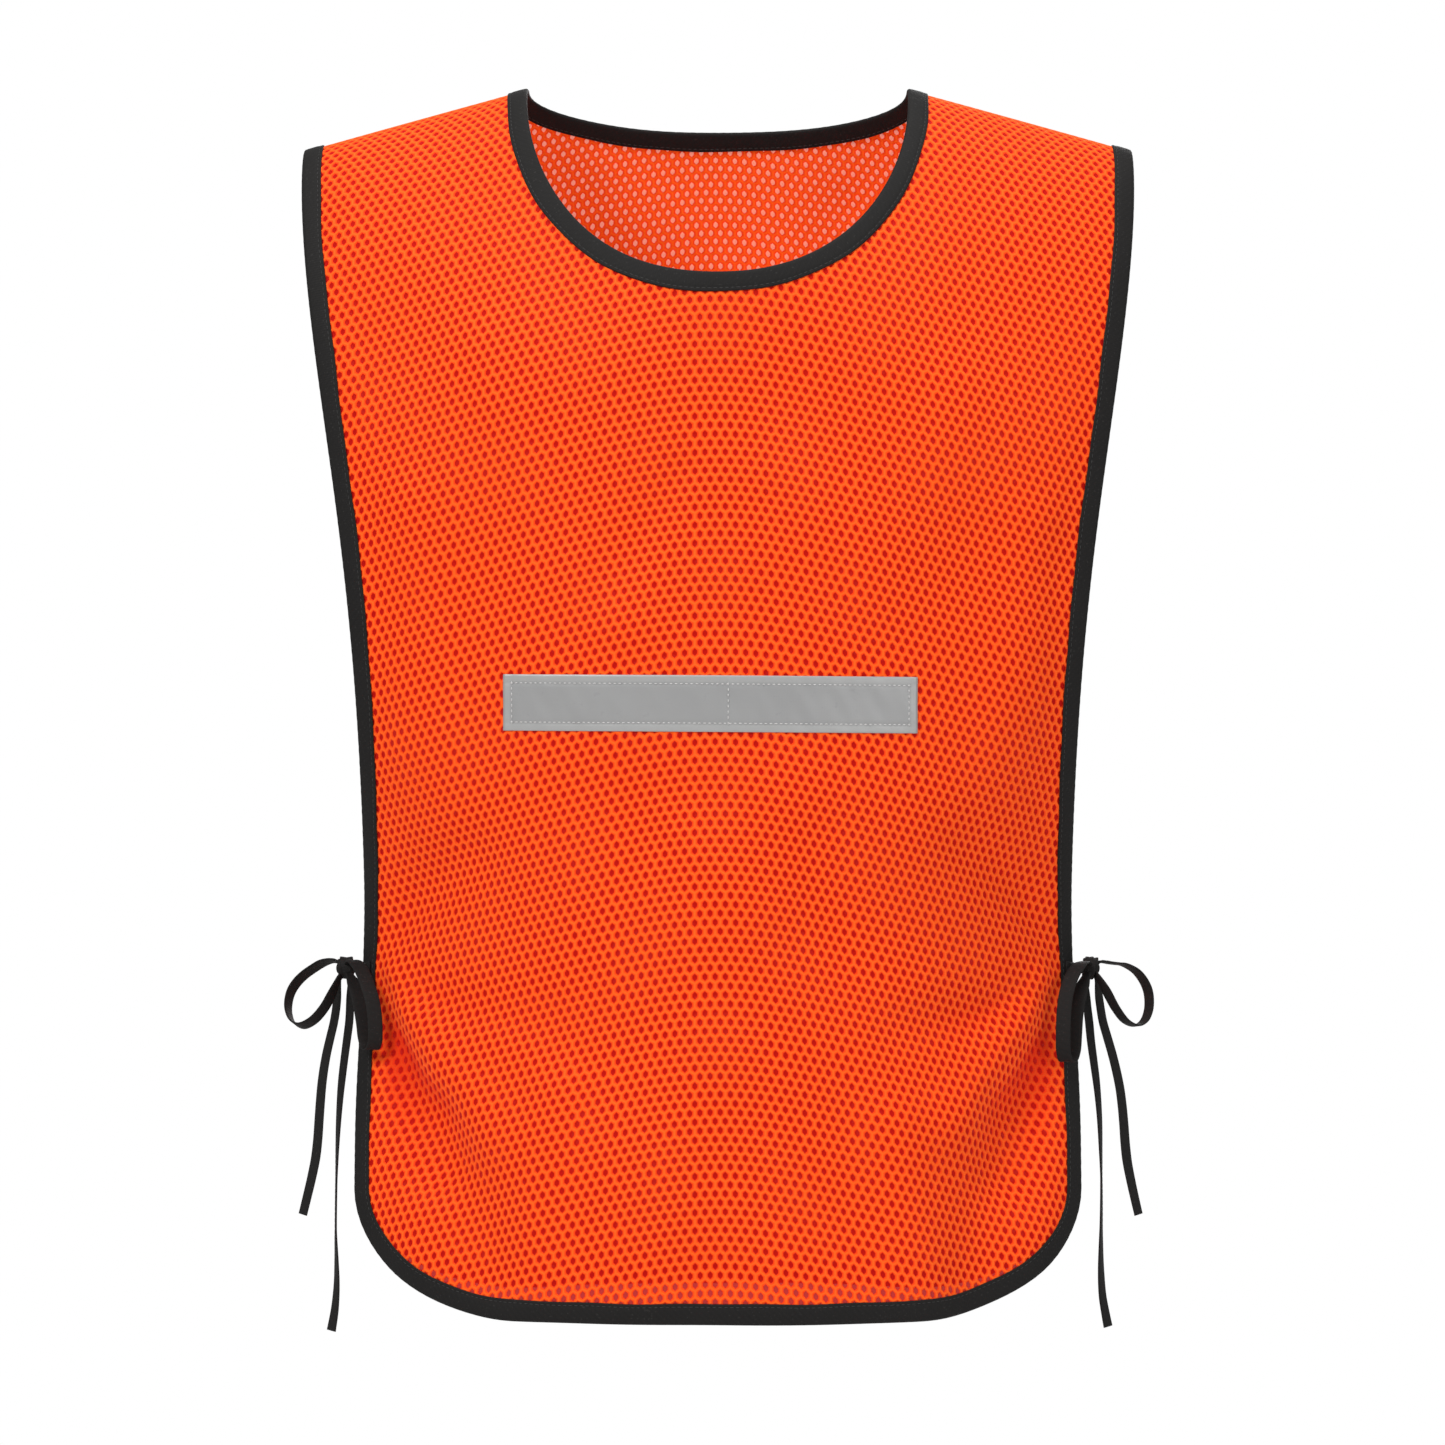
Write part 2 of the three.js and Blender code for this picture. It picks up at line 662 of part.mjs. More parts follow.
// A bar of close stitching across the sewn end
function bartack(hand, side) {
  const cut = side > 0 ? frontCut : backCut;
  const centre = stepSideways(cut.outer[tieRow], downCloth, sewnEnd / 2);
  const halfWide = bartackWide / 2;
  const halfHigh = bartackHigh / 2;
  const base = tieSeat + tapeThick + fitGap;
  const corner = (inset, drop) => {
    const place = stepSideways(centre, downCloth, inset);
    return new THREE.Vector2(hand * place.x, side * (place.y + drop));
  };
  const cells = [[corner(-halfWide, -halfHigh), corner(-halfWide, halfHigh), corner(halfWide, halfHigh),
    corner(halfWide, -halfHigh)]];
  return sheetSolid(cells, base, base + bartackThick);
}

// ---- Assembly ----

function add(name, geometry, material) {
  const mesh = new THREE.Mesh(geometry, material);
  mesh.name = name;
  vest.add(mesh);
  return mesh;
}

add('front_panel', panel(frontCut, false), netOrange);
add('back_panel', panel(backCut, true), netOrange);
add('neck_binding', band(frontCut.neck, frontCut.neckInset, backCut.neck, backCut.neckInset), bindingBlack);
add('edge_binding', band(frontCut.outer, frontCut.outerInset, backCut.outer, backCut.outerInset), bindingBlack);

const panels = { front: 1, back: -1 };
for (const [name, side] of Object.entries(panels)) {
  add(`${name}_reflective_strip`, reflectiveStrip(side), stripGrey);
  add(`${name}_strip_stitching`, stripStitching(side), threadGrey);
}

const hands = { left: -1, right: 1 };
const bows = { left: leftBow, right: rightBow };
for (const [name, hand] of Object.entries(hands)) {
  add(`${name}_shoulder_seam`, shoulderSeam(hand), seamOrange);
  add(`${name}_knot`, knot(), bindingBlack).position.set(hand * knotX, 0, -tieLevel);
  for (const [panelName, side] of Object.entries(panels)) {
    add(`${name}_${panelName}_tie_end`, tieEnd(hand, side), bindingBlack);
    add(`${name}_${panelName}_bartack`, bartack(hand, side), bindingBlack);
  }
  add(`${name}_outer_loop`, bowLoop(hand, bows[name].outer_loop), bindingBlack);
  add(`${name}_inner_loop`, bowLoop(hand, bows[name].inner_loop), bindingBlack);
  add(`${name}_outer_tail`, bowTail(hand, bows[name].outer_tail), bindingBlack);
  add(`${name}_inner_tail`, bowTail(hand, bows[name].inner_tail), bindingBlack);
}

export default vest;
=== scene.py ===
# A mesh safety tabard: perforated orange net, black bias binding, a reflective strip on each
# panel and a bow of tape at each side. Metres, +Z up, the front faces -Y, left is -X.
import math
import bpy
import numpy as np
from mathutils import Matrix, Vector


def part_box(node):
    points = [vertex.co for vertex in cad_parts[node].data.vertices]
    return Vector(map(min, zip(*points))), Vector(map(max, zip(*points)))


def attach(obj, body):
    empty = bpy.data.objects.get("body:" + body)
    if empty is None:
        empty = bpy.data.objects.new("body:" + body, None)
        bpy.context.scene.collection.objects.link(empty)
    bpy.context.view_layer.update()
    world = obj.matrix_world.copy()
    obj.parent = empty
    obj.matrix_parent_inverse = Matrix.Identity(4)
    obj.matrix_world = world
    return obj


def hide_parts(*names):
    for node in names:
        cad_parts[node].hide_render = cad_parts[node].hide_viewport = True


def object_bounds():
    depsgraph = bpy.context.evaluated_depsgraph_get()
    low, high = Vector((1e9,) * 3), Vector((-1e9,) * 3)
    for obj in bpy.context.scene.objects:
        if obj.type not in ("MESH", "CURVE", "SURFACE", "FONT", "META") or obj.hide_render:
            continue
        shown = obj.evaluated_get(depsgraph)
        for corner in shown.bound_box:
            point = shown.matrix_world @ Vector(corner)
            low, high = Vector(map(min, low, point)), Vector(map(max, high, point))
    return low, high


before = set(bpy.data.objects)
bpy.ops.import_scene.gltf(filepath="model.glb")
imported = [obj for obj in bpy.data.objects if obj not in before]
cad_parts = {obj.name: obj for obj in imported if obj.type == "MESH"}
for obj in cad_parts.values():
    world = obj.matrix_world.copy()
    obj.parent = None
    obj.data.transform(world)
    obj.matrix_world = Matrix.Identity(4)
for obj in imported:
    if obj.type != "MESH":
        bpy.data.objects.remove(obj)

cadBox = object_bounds()
mm = 0.001


# Camera and light

viewLook = dict(distance=3.0, lens=135.9, aside=2.5 * mm, level=-347 * mm)


def addCamera():
    data = bpy.data.cameras.new("camera")
    data.lens = viewLook["lens"]
    data.clip_end = 30
    camera = bpy.data.objects.new("camera", data)
    camera.location = (viewLook["aside"], -viewLook["distance"], viewLook["level"])
    camera.rotation_euler = (math.pi / 2, 0, 0)
    bpy.context.collection.objects.link(camera)
    bpy.context.scene.camera = camera


def addLight(name, place, aim, size, power):
    data = bpy.data.lights.new(name, "AREA")
    data.shape = "SQUARE"
    data.size = size
    data.energy = power
    light = bpy.data.objects.new(name, data)
    light.location = place
    light.rotation_euler = (Vector(aim) - Vector(place)).to_track_quat("-Z", "Y").to_euler()
    bpy.context.collection.objects.link(light)


bpy.context.scene.view_settings.view_transform = "Standard"  # keeps the white ground white
addCamera()
addLight("key", (-1.5, -2.1, 1.5), (0, 0, -0.32), 1.1, 62)
addLight("fill", (2.0, -2.0, 0.2), (0, 0, -0.35), 1.8, 20)
addLight("over", (0.2, -0.3, 1.9), (0, 0, -0.2), 1.2, 28)
addLight("rear", (0.9, 2.3, 0.6), (0, 0, -0.3), 1.6, 30)
print("camera and lights set")


# Node trees: a Wire is an output that can be used in sums

class Wire:
    def __init__(self, nodes, socket):
        self.nodes = nodes
        self.socket = socket

    def math(self, operation, *values):
        inputs = {i: value for i, value in enumerate((self, *values))}
        return self.nodes.add("ShaderNodeMath", dict(operation=operation), inputs)

    def __add__(self, other):
        return self.math("ADD", other)

    def __radd__(self, other):
        return self.math("ADD", other)

    def __sub__(self, other):
        return self.math("SUBTRACT", other)

    def __rsub__(self, other):
        return self.nodes.add("ShaderNodeMath", dict(operation="SUBTRACT"), {0: other, 1: self})

    def __mul__(self, other):
        return self.math("MULTIPLY", other)

    def __rmul__(self, other):
        return self.math("MULTIPLY", other)

    def __truediv__(self, other):
        return self.math("DIVIDE", other)

    def clamped(self):
        return self.nodes.add("ShaderNodeClamp", {}, {"Value": self})

    def step(self, low, high):
        span = {"Value": self, "From Min": low, "From Max": high}
        return self.nodes.add("ShaderNodeMapRange", dict(interpolation_type="SMOOTHSTEP"), span)


class Nodes:
    def __init__(self, tree):
        self.tree = tree

    def add(self, kind, settings=None, inputs=None, output=0):
        node = self.tree.nodes.new(kind)
        for name, value in (settings or {}).items():
            setattr(node, name, value)
        for name, value in (inputs or {}).items():
            if isinstance(value, Wire):
                self.tree.links.new(value.socket, node.inputs[name])
            else:
                node.inputs[name].default_value = value
        return Wire(self, node.outputs[output]) if len(node.outputs) else None

    def part(self, vector, axis):
        return self.add("ShaderNodeSeparateXYZ", {}, {0: vector}, axis)

    def mix(self, share, first, second):
        blend = {0: share, 6: first, 7: second}
        return self.add("ShaderNodeMix", dict(data_type="RGBA"), blend, 2)

    def noise(self, vector, scale, detail=3.0, roughness=0.5):
        look = {"Vector": vector, "Scale": scale, "Detail": detail, "Roughness": roughness}
        return self.add("ShaderNodeTexNoise", {}, look)

    def wave(self, vector, scale, direction, distortion=0.0):
        look = {"Vector": vector, "Scale": scale, "Distortion": distortion, "Detail": 1.0}
        settings = dict(wave_type="BANDS", bands_direction=direction, wave_profile="SIN")
        return self.add("ShaderNodeTexWave", settings, look, "Fac")


def newMaterial(name, constants, recipe):
    material = bpy.data.materials.new(name)
    material.use_nodes = True
    tree = material.node_tree
    tree.nodes.clear()
    nodes = Nodes(tree)
    shader = nodes.add("ShaderNodeBsdfPrincipled", {}, {**constants, **recipe(nodes)})
    nodes.add("ShaderNodeOutputMaterial", {}, {"Surface": shader})
    return material


def bump(nodes, height, strength, distance):
    return nodes.add("ShaderNodeBump", {}, {"Height": height, "Strength": strength, "Distance": distance})


def uvOf(nodes):
    return nodes.add("ShaderNodeUVMap", dict(uv_map="cloth"))


def objectPlace(nodes):
    return nodes.add("ShaderNodeTexCoord", {}, {}, "Object")


# Materials

# Net strand colours: crest is the lit top of a strand and rim is painted shade where the strand slopes down
# into an eyelet.
netLook = dict(
    crest=(1.0, 0.135, 0.012, 1), rim=(0.8, 0.022, 0.001, 1),
    # dye is a random tone; the pinched colour is painted shade for the fold valleys beside the ties.
    dye=(0.85, 0.075, 0.004, 1), pinchShade=(0.66, 0.014, 0.0005, 1), stitchesPerMetre=1700)
# The front film is painted shade: a nearly opaque dark red sheet across the eyelets for the shaded inside
# seen through them.
frontCloth = dict(film=(0.44, 0.001, 0.0001, 1), filmAlpha=0.97, paintedGlow=0.05)
# The emission glow is painted light: a little on the front for the orange's fluorescence, more on the back
# for light shining through it.
backCloth = dict(film=(0.95, 0.16, 0.025, 1), filmAlpha=0.84, paintedGlow=0.2)


def netRecipe(nodes, cloth):
    place = uvOf(nodes)
    relief = nodes.add("ShaderNodeAttribute", dict(attribute_name="relief"), {}, "Fac")
    pinch = nodes.add("ShaderNodeAttribute", dict(attribute_name="pinch"), {}, "Fac")
    sheer = 1 - relief.step(0.02, 0.06)
    patches = nodes.noise(place, 9, 4)
    fibres = nodes.noise(place, 1400, 2)
    loops = nodes.wave(place, netLook["stitchesPerMetre"] / 6.28, "Y", 0.6)
    courses = nodes.wave(place, netLook["stitchesPerMetre"] / 7.6, "X", 0.4)
    # Painted shade by height: the strands darken from crest to rim, with fibre noise for a random tone.
    depthShading = (relief * 0.95 + fibres * 0.3 - 0.15).clamped()
    strandWithDepthShade = nodes.mix(depthShading, netLook["rim"], netLook["crest"])
    dyed = nodes.mix((patches - 0.45).clamped() * 0.9, strandWithDepthShade, netLook["dye"])
    # Painted shade: darker red in the fold valleys beside the ties, where the pinch attribute is high.
    shaded = nodes.mix(pinch * 0.8, dyed, netLook["pinchShade"])
    # Eyelets take the film colour; on the front panel it is painted shade.
    colour = nodes.mix(sheer, shaded, cloth["film"])
    knit = loops * 0.6 + courses * 0.4 + fibres * 0.5
    return {
        "Base Color": colour,
        "Roughness": 0.62 + fibres * 0.25,
        "Alpha": 1 - sheer * (1 - cloth["filmAlpha"]),
        "Normal": bump(nodes, knit, 0.5, 0.00012),
        # Painted light: the net glows in its own colour.
        "Emission Color": colour,
    }


tapeLook = dict(
    base=(0.0055, 0.005, 0.0047, 1), worn=(0.0135, 0.0125, 0.012, 1), lint=(0.04, 0.038, 0.036, 1),
    ribsPerMetre=1500)


def tapeRecipe(nodes):
    cloth = uvOf(nodes)
    place = objectPlace(nodes)
    ribs = nodes.wave(cloth, tapeLook["ribsPerMetre"] / 6.28, "X", 0.3)
    twill = nodes.wave(cloth, tapeLook["ribsPerMetre"] / 9.0, "DIAGONAL", 0.5)
    patches = nodes.noise(place, 28, 3)
    specks = nodes.noise(place, 900, 1).step(0.66, 0.76)
    faded = nodes.mix(patches * 0.9, tapeLook["base"], tapeLook["worn"])
    woven = nodes.mix((ribs * 0.35 + twill * 0.25).clamped(), faded, tapeLook["worn"])
    return {
        "Base Color": nodes.mix(specks * 0.5, woven, tapeLook["lint"]),
        "Roughness": 0.55 + ribs * 0.12 + patches * 0.2,
        "Normal": bump(nodes, ribs * 0.6 + twill * 0.5, 0.45, 0.0001),
    }


stripLook = dict(
    film=(0.335, 0.335, 0.335, 1), dull=(0.26, 0.26, 0.26, 1), rim=(0.38, 0.38, 0.375, 1),
    cellsPerMetre=2400)


def stripRecipe(nodes):
    cloth = uvOf(nodes)
    beads = nodes.add(
        "ShaderNodeTexVoronoi", {}, {"Vector": cloth, "Scale": stripLook["cellsPerMetre"]}, "Distance")
    patches = nodes.noise(cloth, 34, 4)
    scuffs = nodes.noise(cloth, 160, 5, 0.65).step(0.58, 0.72)
    ground = nodes.wave(cloth, 380, "X", 0.2) * 0.5 + nodes.wave(cloth, 380, "Y", 0.2) * 0.5
    rimmed = nodes.add("ShaderNodeAttribute", dict(attribute_name="rim"), {}, "Fac")
    tone = nodes.mix(patches * 0.7, stripLook["film"], stripLook["dull"])
    rubbed = nodes.mix(scuffs * 0.35, tone, stripLook["dull"])
    return {
        "Base Color": nodes.mix(rimmed * 0.75, rubbed, stripLook["rim"]),
        "Roughness": 0.38 + scuffs * 0.2 + beads * 0.15,
        "Normal": bump(nodes, ground * 0.7 + beads * 0.5, 0.3, 0.00008),
    }


def threadRecipe(base, plyGrooveShade):
    def recipe(nodes):
        place = objectPlace(nodes)
        ply = nodes.wave(place, 700, "DIAGONAL", 1.0)
        fuzz = nodes.noise(place, 1800, 2)
        return {
            # Painted shade: the thread darkens in the grooves along its twist, with fuzz noise for a random
            # tone.
            "Base Color": nodes.mix((ply * 0.6 + fuzz * 0.4).clamped(), plyGrooveShade, base),
            "Roughness": 0.6 + fuzz * 0.2,
            "Normal": bump(nodes, ply + fuzz * 0.5, 0.4, 0.00008),
        }
    return recipe


def netMaterial(name, cloth):
    constants = {
        "Sheen Weight": 0.03, "Sheen Roughness": 0.45, "Specular IOR Level": 0.12,
        "Emission Strength": cloth["paintedGlow"]}
    return newMaterial(name, constants, lambda nodes: netRecipe(nodes, cloth))


frontMesh = netMaterial("frontMesh", frontCloth)
backMesh = netMaterial("backMesh", backCloth)
blackTape = newMaterial(
    "blackTape", {"Sheen Weight": 0.02, "Sheen Roughness": 0.4, "Specular IOR Level": 0.16}, tapeRecipe)
reflectiveFilm = newMaterial(
    "reflectiveFilm", {"Specular IOR Level": 0.6, "Metallic": 0.25}, stripRecipe)
greyThread = newMaterial(
    "greyThread", {}, threadRecipe((0.66, 0.65, 0.64, 1), (0.44, 0.435, 0.43, 1)))
blackThread = newMaterial(
    "blackThread", {}, threadRecipe((0.05, 0.049, 0.048, 1), (0.016, 0.016, 0.016, 1)))
orangeThread = newMaterial(
    "orangeThread", {}, threadRecipe((0.95, 0.15, 0.02, 1), (0.6, 0.05, 0.005, 1)))
print("materials made")


# The worn surface: a place on the cloth is (x, fall), where fall runs down from the shoulder
# ridge, positive on the front and negative on the back

cut = dict(
    length=665 * mm, shoulderHalf=226 * mm, waistHalf=192.5 * mm, hemHalf=197 * mm,
    waistLevel=430 * mm, hipLevel=575 * mm, sideCurve=1.3, cornerWide=90 * mm,
    cornerHigh=65 * mm, neckHalf=105 * mm, frontNeckDrop=109 * mm, backNeckDrop=18 * mm,
    neckSquareness=2.15)

drape = dict(
    shoulderSlope=0.287, ridgeRound=45 * mm, shoulderRound=180 * mm, frontDepth=115 * mm,
    backDepth=108 * mm, shoulderLoss=27 * mm, settleFall=350 * mm, armGap=62 * mm,
    hemGap=35 * mm, tieLevel=482 * mm, tiePinch=0.9, pinchReach=110 * mm)

# Folds as (x, z) to (x, z), the widths at both ends, and the height, all in millimetres
frontFolds = [
    (-196, -486, -152, -585, 9, 17, -4.6), (-178, -486, -122, -570, 8, 18, 3.4),
    (-150, -560, -122, -640, 18, 22, -3.8), (-84, -545, -112, -662, 16, 22, 3.2),
    (-192, -470, -135, -420, 9, 18, -3.0), (-186, -490, -95, -505, 7, 18, -2.2),
    (196, -486, 160, -590, 9, 17, -4.4), (178, -488, 128, -560, 8, 18, 3.2),
    (158, -560, 140, -645, 18, 22, -3.4), (96, -560, 108, -662, 16, 24, 2.8),
    (192, -470, 140, -415, 9, 18, -2.8), (186, -492, 100, -512, 7, 18, -2.0),
    (-120, -150, -60, -300, 22, 30, 1.6), (-20, -215, -75, -300, 10, 16, -1.5),
    (128, -170, 70, -310, 22, 30, 1.7), (30, -230, 85, -315, 10, 16, -1.3),
    (-165, -230, -150, -400, 16, 24, 2.0), (168, -240, 152, -400, 16, 24, 1.8),
    (-40, -400, -66, -540, 18, 26, -1.5), (52, -410, 70, -550, 18, 26, -1.6),
    (6, -560, -10, -662, 20, 28, -1.6), (-30, -395, 20, -450, 9, 13, 1.0),
]
backFolds = [
    (-196, -486, -130, -590, 9, 20, -4.4), (196, -486, 128, -600, 9, 20, -4.4),
    (-185, -490, -90, -520, 8, 18, 2.6), (185, -490, 96, -524, 8, 18, 2.8),
    (-140, -580, -118, -662, 18, 24, -3.0), (136, -580, 120, -662, 18, 24, -3.2),
    (-70, -60, -50, -200, 18, 26, 2.0), (74, -64, 46, -210, 18, 26, 2.2),
    (-30, -150, -44, -290, 14, 22, -1.6), (20, -160, 38, -290, 14, 22, -1.8),
    (-192, -468, -130, -410, 9, 20, 2.6), (192, -468, 134, -408, 9, 20, 2.6),
    (-24, -420, 10, -600, 20, 28, 1.8), (70, -400, 56, -560, 18, 24, -1.6),
]
# The pinch entries place painted shade in the fold valleys beside the ties.
foldLook = dict(
    depth=1.5, ripple=1.3 * mm, sideFade=26 * mm, stripHalf=120 * mm, stripFade=30 * mm,
    pinchFrom=0.5 * mm, pinchFull=4.5 * mm, pinchInset=18 * mm, pinchDrop=36 * mm, pinchReach=42 * mm)


def smooth(value, low, high):
    t = np.clip((value - low) / (high - low), 0, 1)
    return t * t * (3 - 2 * t)


def mixed(a, b, t):
    return a + (b - a) * t


def ridgeHeight(x):
    rounding = drape["ridgeRound"]
    return drape["shoulderSlope"] * (math.hypot(cut["neckHalf"], rounding) - np.hypot(x, rounding))


def sideHalf(z):
    tip = ridgeHeight(cut["shoulderHalf"])
    rise = np.clip((z + cut["waistLevel"]) / (tip + cut["waistLevel"]), 0, 1)
    upper = mixed(cut["waistHalf"], cut["shoulderHalf"], smooth(rise ** cut["sideCurve"], 0, 1))
    lower = mixed(cut["waistHalf"], cut["hemHalf"], smooth(-z, cut["waistLevel"], cut["hipLevel"]))
    return np.where(z > -cut["waistLevel"], upper, lower)


def sideGap(z):
    lowered = smooth(-z, drape["tieLevel"] - drape["pinchReach"], cut["length"])
    pinch = drape["tiePinch"] * np.exp(-(((z + drape["tieLevel"]) / drape["pinchReach"]) ** 2))
    return mixed(drape["armGap"], drape["hemGap"], lowered) * (1 - pinch)


def wornPoint(x, fall):
    x, fall = np.broadcast_arrays(np.asarray(x, float), np.asarray(fall, float))
    along = np.abs(fall)
    turn = np.minimum(along / drape["shoulderRound"], math.pi / 2)
    straight = np.maximum(0, along - drape["shoulderRound"] * math.pi / 2)
    z = ridgeHeight(x) - drape["shoulderRound"] * (1 - np.cos(turn)) - straight
    fullDepth = np.where(fall < 0, drape["backDepth"], drape["frontDepth"])
    depth = fullDepth - drape["shoulderLoss"] * (1 - smooth(along, 0, drape["settleFall"]))
    gap = sideGap(z)
    across = x / sideHalf(z)
    reach = np.sin(turn) * (gap + (depth - gap) * (1 - across * across))
    return np.stack([x, np.where(fall < 0, 1, -1) * reach, z], axis=-1)


def fallAt(x, z):
    drop = ridgeHeight(x) - z
    rounding = drape["shoulderRound"]
    bent = rounding * np.arccos(np.clip(1 - drop / rounding, -1, 1))
    return np.where(drop < rounding, bent, rounding * math.pi / 2 + drop - rounding)


def foldHeight(x, fall):
    place = wornPoint(x, fall)
    z = place[..., 2]
    height = foldLook["ripple"] * (
        np.sin(x * 47 + z * 16) * np.sin(z * 31 - x * 11 + 0.8) + 0.6 * np.sin(x * 21 - z * 44 + 2.1))
    for folds, here in ((frontFolds, fall > 0), (backFolds, fall < 0)):
        for x1, z1, x2, z2, width1, width2, tall in folds:
            start = np.array([x1, z1]) * mm
            run = np.array([x2 - x1, z2 - z1]) * mm
            share = ((x - start[0]) * run[0] + (z - start[1]) * run[1]) / (run @ run)
            held = np.clip(share, 0, 1)
            away = np.hypot(x - start[0] - held * run[0], z - start[1] - held * run[1])
            wide = mixed(width1, width2, held) * mm
            height = height + here * foldLook["depth"] * tall * mm * np.exp(-((away / wide) ** 2))
    side = smooth(sideHalf(z) - np.abs(x), 2 * mm, foldLook["sideFade"])
    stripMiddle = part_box("front_reflective_strip")
    low, high = stripMiddle[0][2], stripMiddle[1][2]
    nearStrip = (1 - smooth(np.abs(z - (low + high) / 2), 18 * mm, 18 * mm + foldLook["stripFade"]))
    nearStrip = nearStrip * (1 - smooth(np.abs(x), foldLook["stripHalf"], foldLook["stripHalf"] + 30 * mm))
    return height * side * (1 - 0.75 * nearStrip) * smooth(np.abs(fall), 0, 60 * mm)


nudge = 0.05 * mm


def normalOf(surface, x, fall):
    across = surface(x + nudge, fall) - surface(x - nudge, fall)
    down = surface(x, fall + nudge) - surface(x, fall - nudge)
    normal = np.cross(down, across)
    return normal / np.linalg.norm(normal, axis=-1, keepdims=True)


def foldedPoint(x, fall):
    return wornPoint(x, fall) + normalOf(wornPoint, x, fall) * foldHeight(x, fall)[..., None]


def clothAt(x, fall, height):
    return foldedPoint(x, fall) + normalOf(foldedPoint, x, fall) * np.asarray(height)[..., None]


# The steps (dx, dfall) for one metre to the side of a line that runs along `heading`
def sideways(x, fall, heading):
    across = (foldedPoint(x + nudge, fall) - foldedPoint(x - nudge, fall)) / (2 * nudge)
    down = (foldedPoint(x, fall + nudge) - foldedPoint(x, fall - nudge)) / (2 * nudge)
    a = (across * across).sum(-1)
    b = (across * down).sum(-1)
    c = (down * down).sum(-1)
    turnedX, turnedFall = -heading[..., 1], heading[..., 0]
    stepX = c * turnedX - b * turnedFall
    stepFall = a * turnedFall - b * turnedX
    size = np.sqrt(a * stepX ** 2 + 2 * b * stepX * stepFall + c * stepFall ** 2)
    return np.stack([stepX / size, stepFall / size], axis=-1)


# Cut edges of the garment's right front quarter, then whole edges from four mirrored quarters

def neckQuarter(drop):
    angle = np.linspace(0, math.pi / 2, 160)
    power = 2 / cut["neckSquareness"]
    x = cut["neckHalf"] * np.clip(np.cos(angle), 0, 1) ** power
    z = -drop * np.sin(angle) ** power
    places = np.stack([x, fallAt(x, z)], axis=-1)
    places[0] = (cut["neckHalf"], 0)
    places[-1, 0] = 0
    return places


def outerQuarter():
    x = cut["shoulderHalf"]
    upper = []
    for fall in np.linspace(0, 60 * mm, 24):
        for _ in range(10):
            x = float(sideHalf(wornPoint(x, fall)[..., 2]))
        upper.append((x, fall))
    top = float(wornPoint(*upper[-1])[2])
    cornerTop = -(cut["length"] - cut["cornerHigh"])
    z = np.linspace(top, cornerTop, 240)[1:]
    side = np.stack([sideHalf(z), fallAt(sideHalf(z), z)], axis=-1)
    cornerX = cut["hemHalf"] - cut["cornerWide"]
    angle = np.linspace(0, math.pi / 2, 60)[1:]
    x = cornerX + cut["cornerWide"] * np.cos(angle)
    corner = np.stack([x, fallAt(x, cornerTop - cut["cornerHigh"] * np.sin(angle))], axis=-1)
    x = np.linspace(cornerX, 0, 50)[1:]
    hem = np.stack([x, fallAt(x, np.full_like(x, -cut["length"]))], axis=-1)
    return np.concatenate([np.array(upper), side, corner, hem])


def wholeEdge(front, back):
    mirror = np.array([-1, 1])
    behind = np.array([1, -1])
    return np.concatenate([
        front, front[:-1][::-1] * mirror, back[1:] * mirror * behind, back[1:-1][::-1] * behind])


def evenly(places, spacing):
    closed = np.concatenate([places, places[:1]])
    points = foldedPoint(closed[:, 0], closed[:, 1])
    run = np.concatenate([[0], np.cumsum(np.linalg.norm(np.diff(points, axis=0), axis=1))])
    count = int(round(run[-1] / spacing))
    at = np.linspace(0, run[-1], count, endpoint=False)
    even = np.stack([np.interp(at, run, closed[:, k]) for k in (0, 1)], axis=-1)
    return even, at, run[-1]


# Mesh building

def newObject(name, mesh, material=None):
    if material:
        mesh.materials.clear()
        mesh.materials.append(material)
    thing = bpy.data.objects.new(name, mesh)
    bpy.context.collection.objects.link(thing)
    return thing


# The body that a piece rides on, and the solid that it is shown for
def declare(thing, node=None, body="garment"):
    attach(thing, body)
    if node:
        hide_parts(node)


# A skin over sections shaped (rows, corners, 3), with uv = (run along, run around) in metres
def sweptObject(name, sections, material, isLoop=False):
    rows, corners = sections.shape[:2]
    spans = rows if isLoop else rows - 1
    i = np.repeat(np.arange(spans), corners)
    j = np.tile(np.arange(corners), spans)
    iNext = (i + 1) % rows
    jNext = (j + 1) % corners
    quads = np.stack([i * corners + j, i * corners + jNext, iNext * corners + jNext, iNext * corners + j], -1)
    faces = [tuple(q) for q in quads.tolist()]
    if not isLoop:
        faces.append(tuple(range(corners - 1, -1, -1)))
        faces.append(tuple(range((rows - 1) * corners, rows * corners)))
    centre = sections.mean(axis=1)
    around = np.linalg.norm(np.roll(sections[0], -1, axis=0) - sections[0], axis=1)
    v = np.concatenate([[0], np.cumsum(around)])
    hop = np.linalg.norm(np.roll(centre, -1, axis=0) - centre, axis=1)
    u = np.concatenate([[0], np.cumsum(hop)])
    mesh = bpy.data.meshes.new(name)
    mesh.from_pydata(sections.reshape(-1, 3).tolist(), [], faces)
    layer = mesh.uv_layers.new(name="cloth")
    uv = np.zeros((len(mesh.loops), 2))
    corner = np.stack([u[i], v[j], u[i], v[j + 1], u[i + 1], v[j + 1], u[i + 1], v[j]], -1)
    uv[:len(quads) * 4] = corner.reshape(-1, 2)
    layer.data.foreach_set("uv", uv.ravel())
    mesh.update()
    if signedVolume(mesh) < 0:
        mesh.flip_normals()
    mesh.shade_smooth()
    return newObject(name, mesh, material)


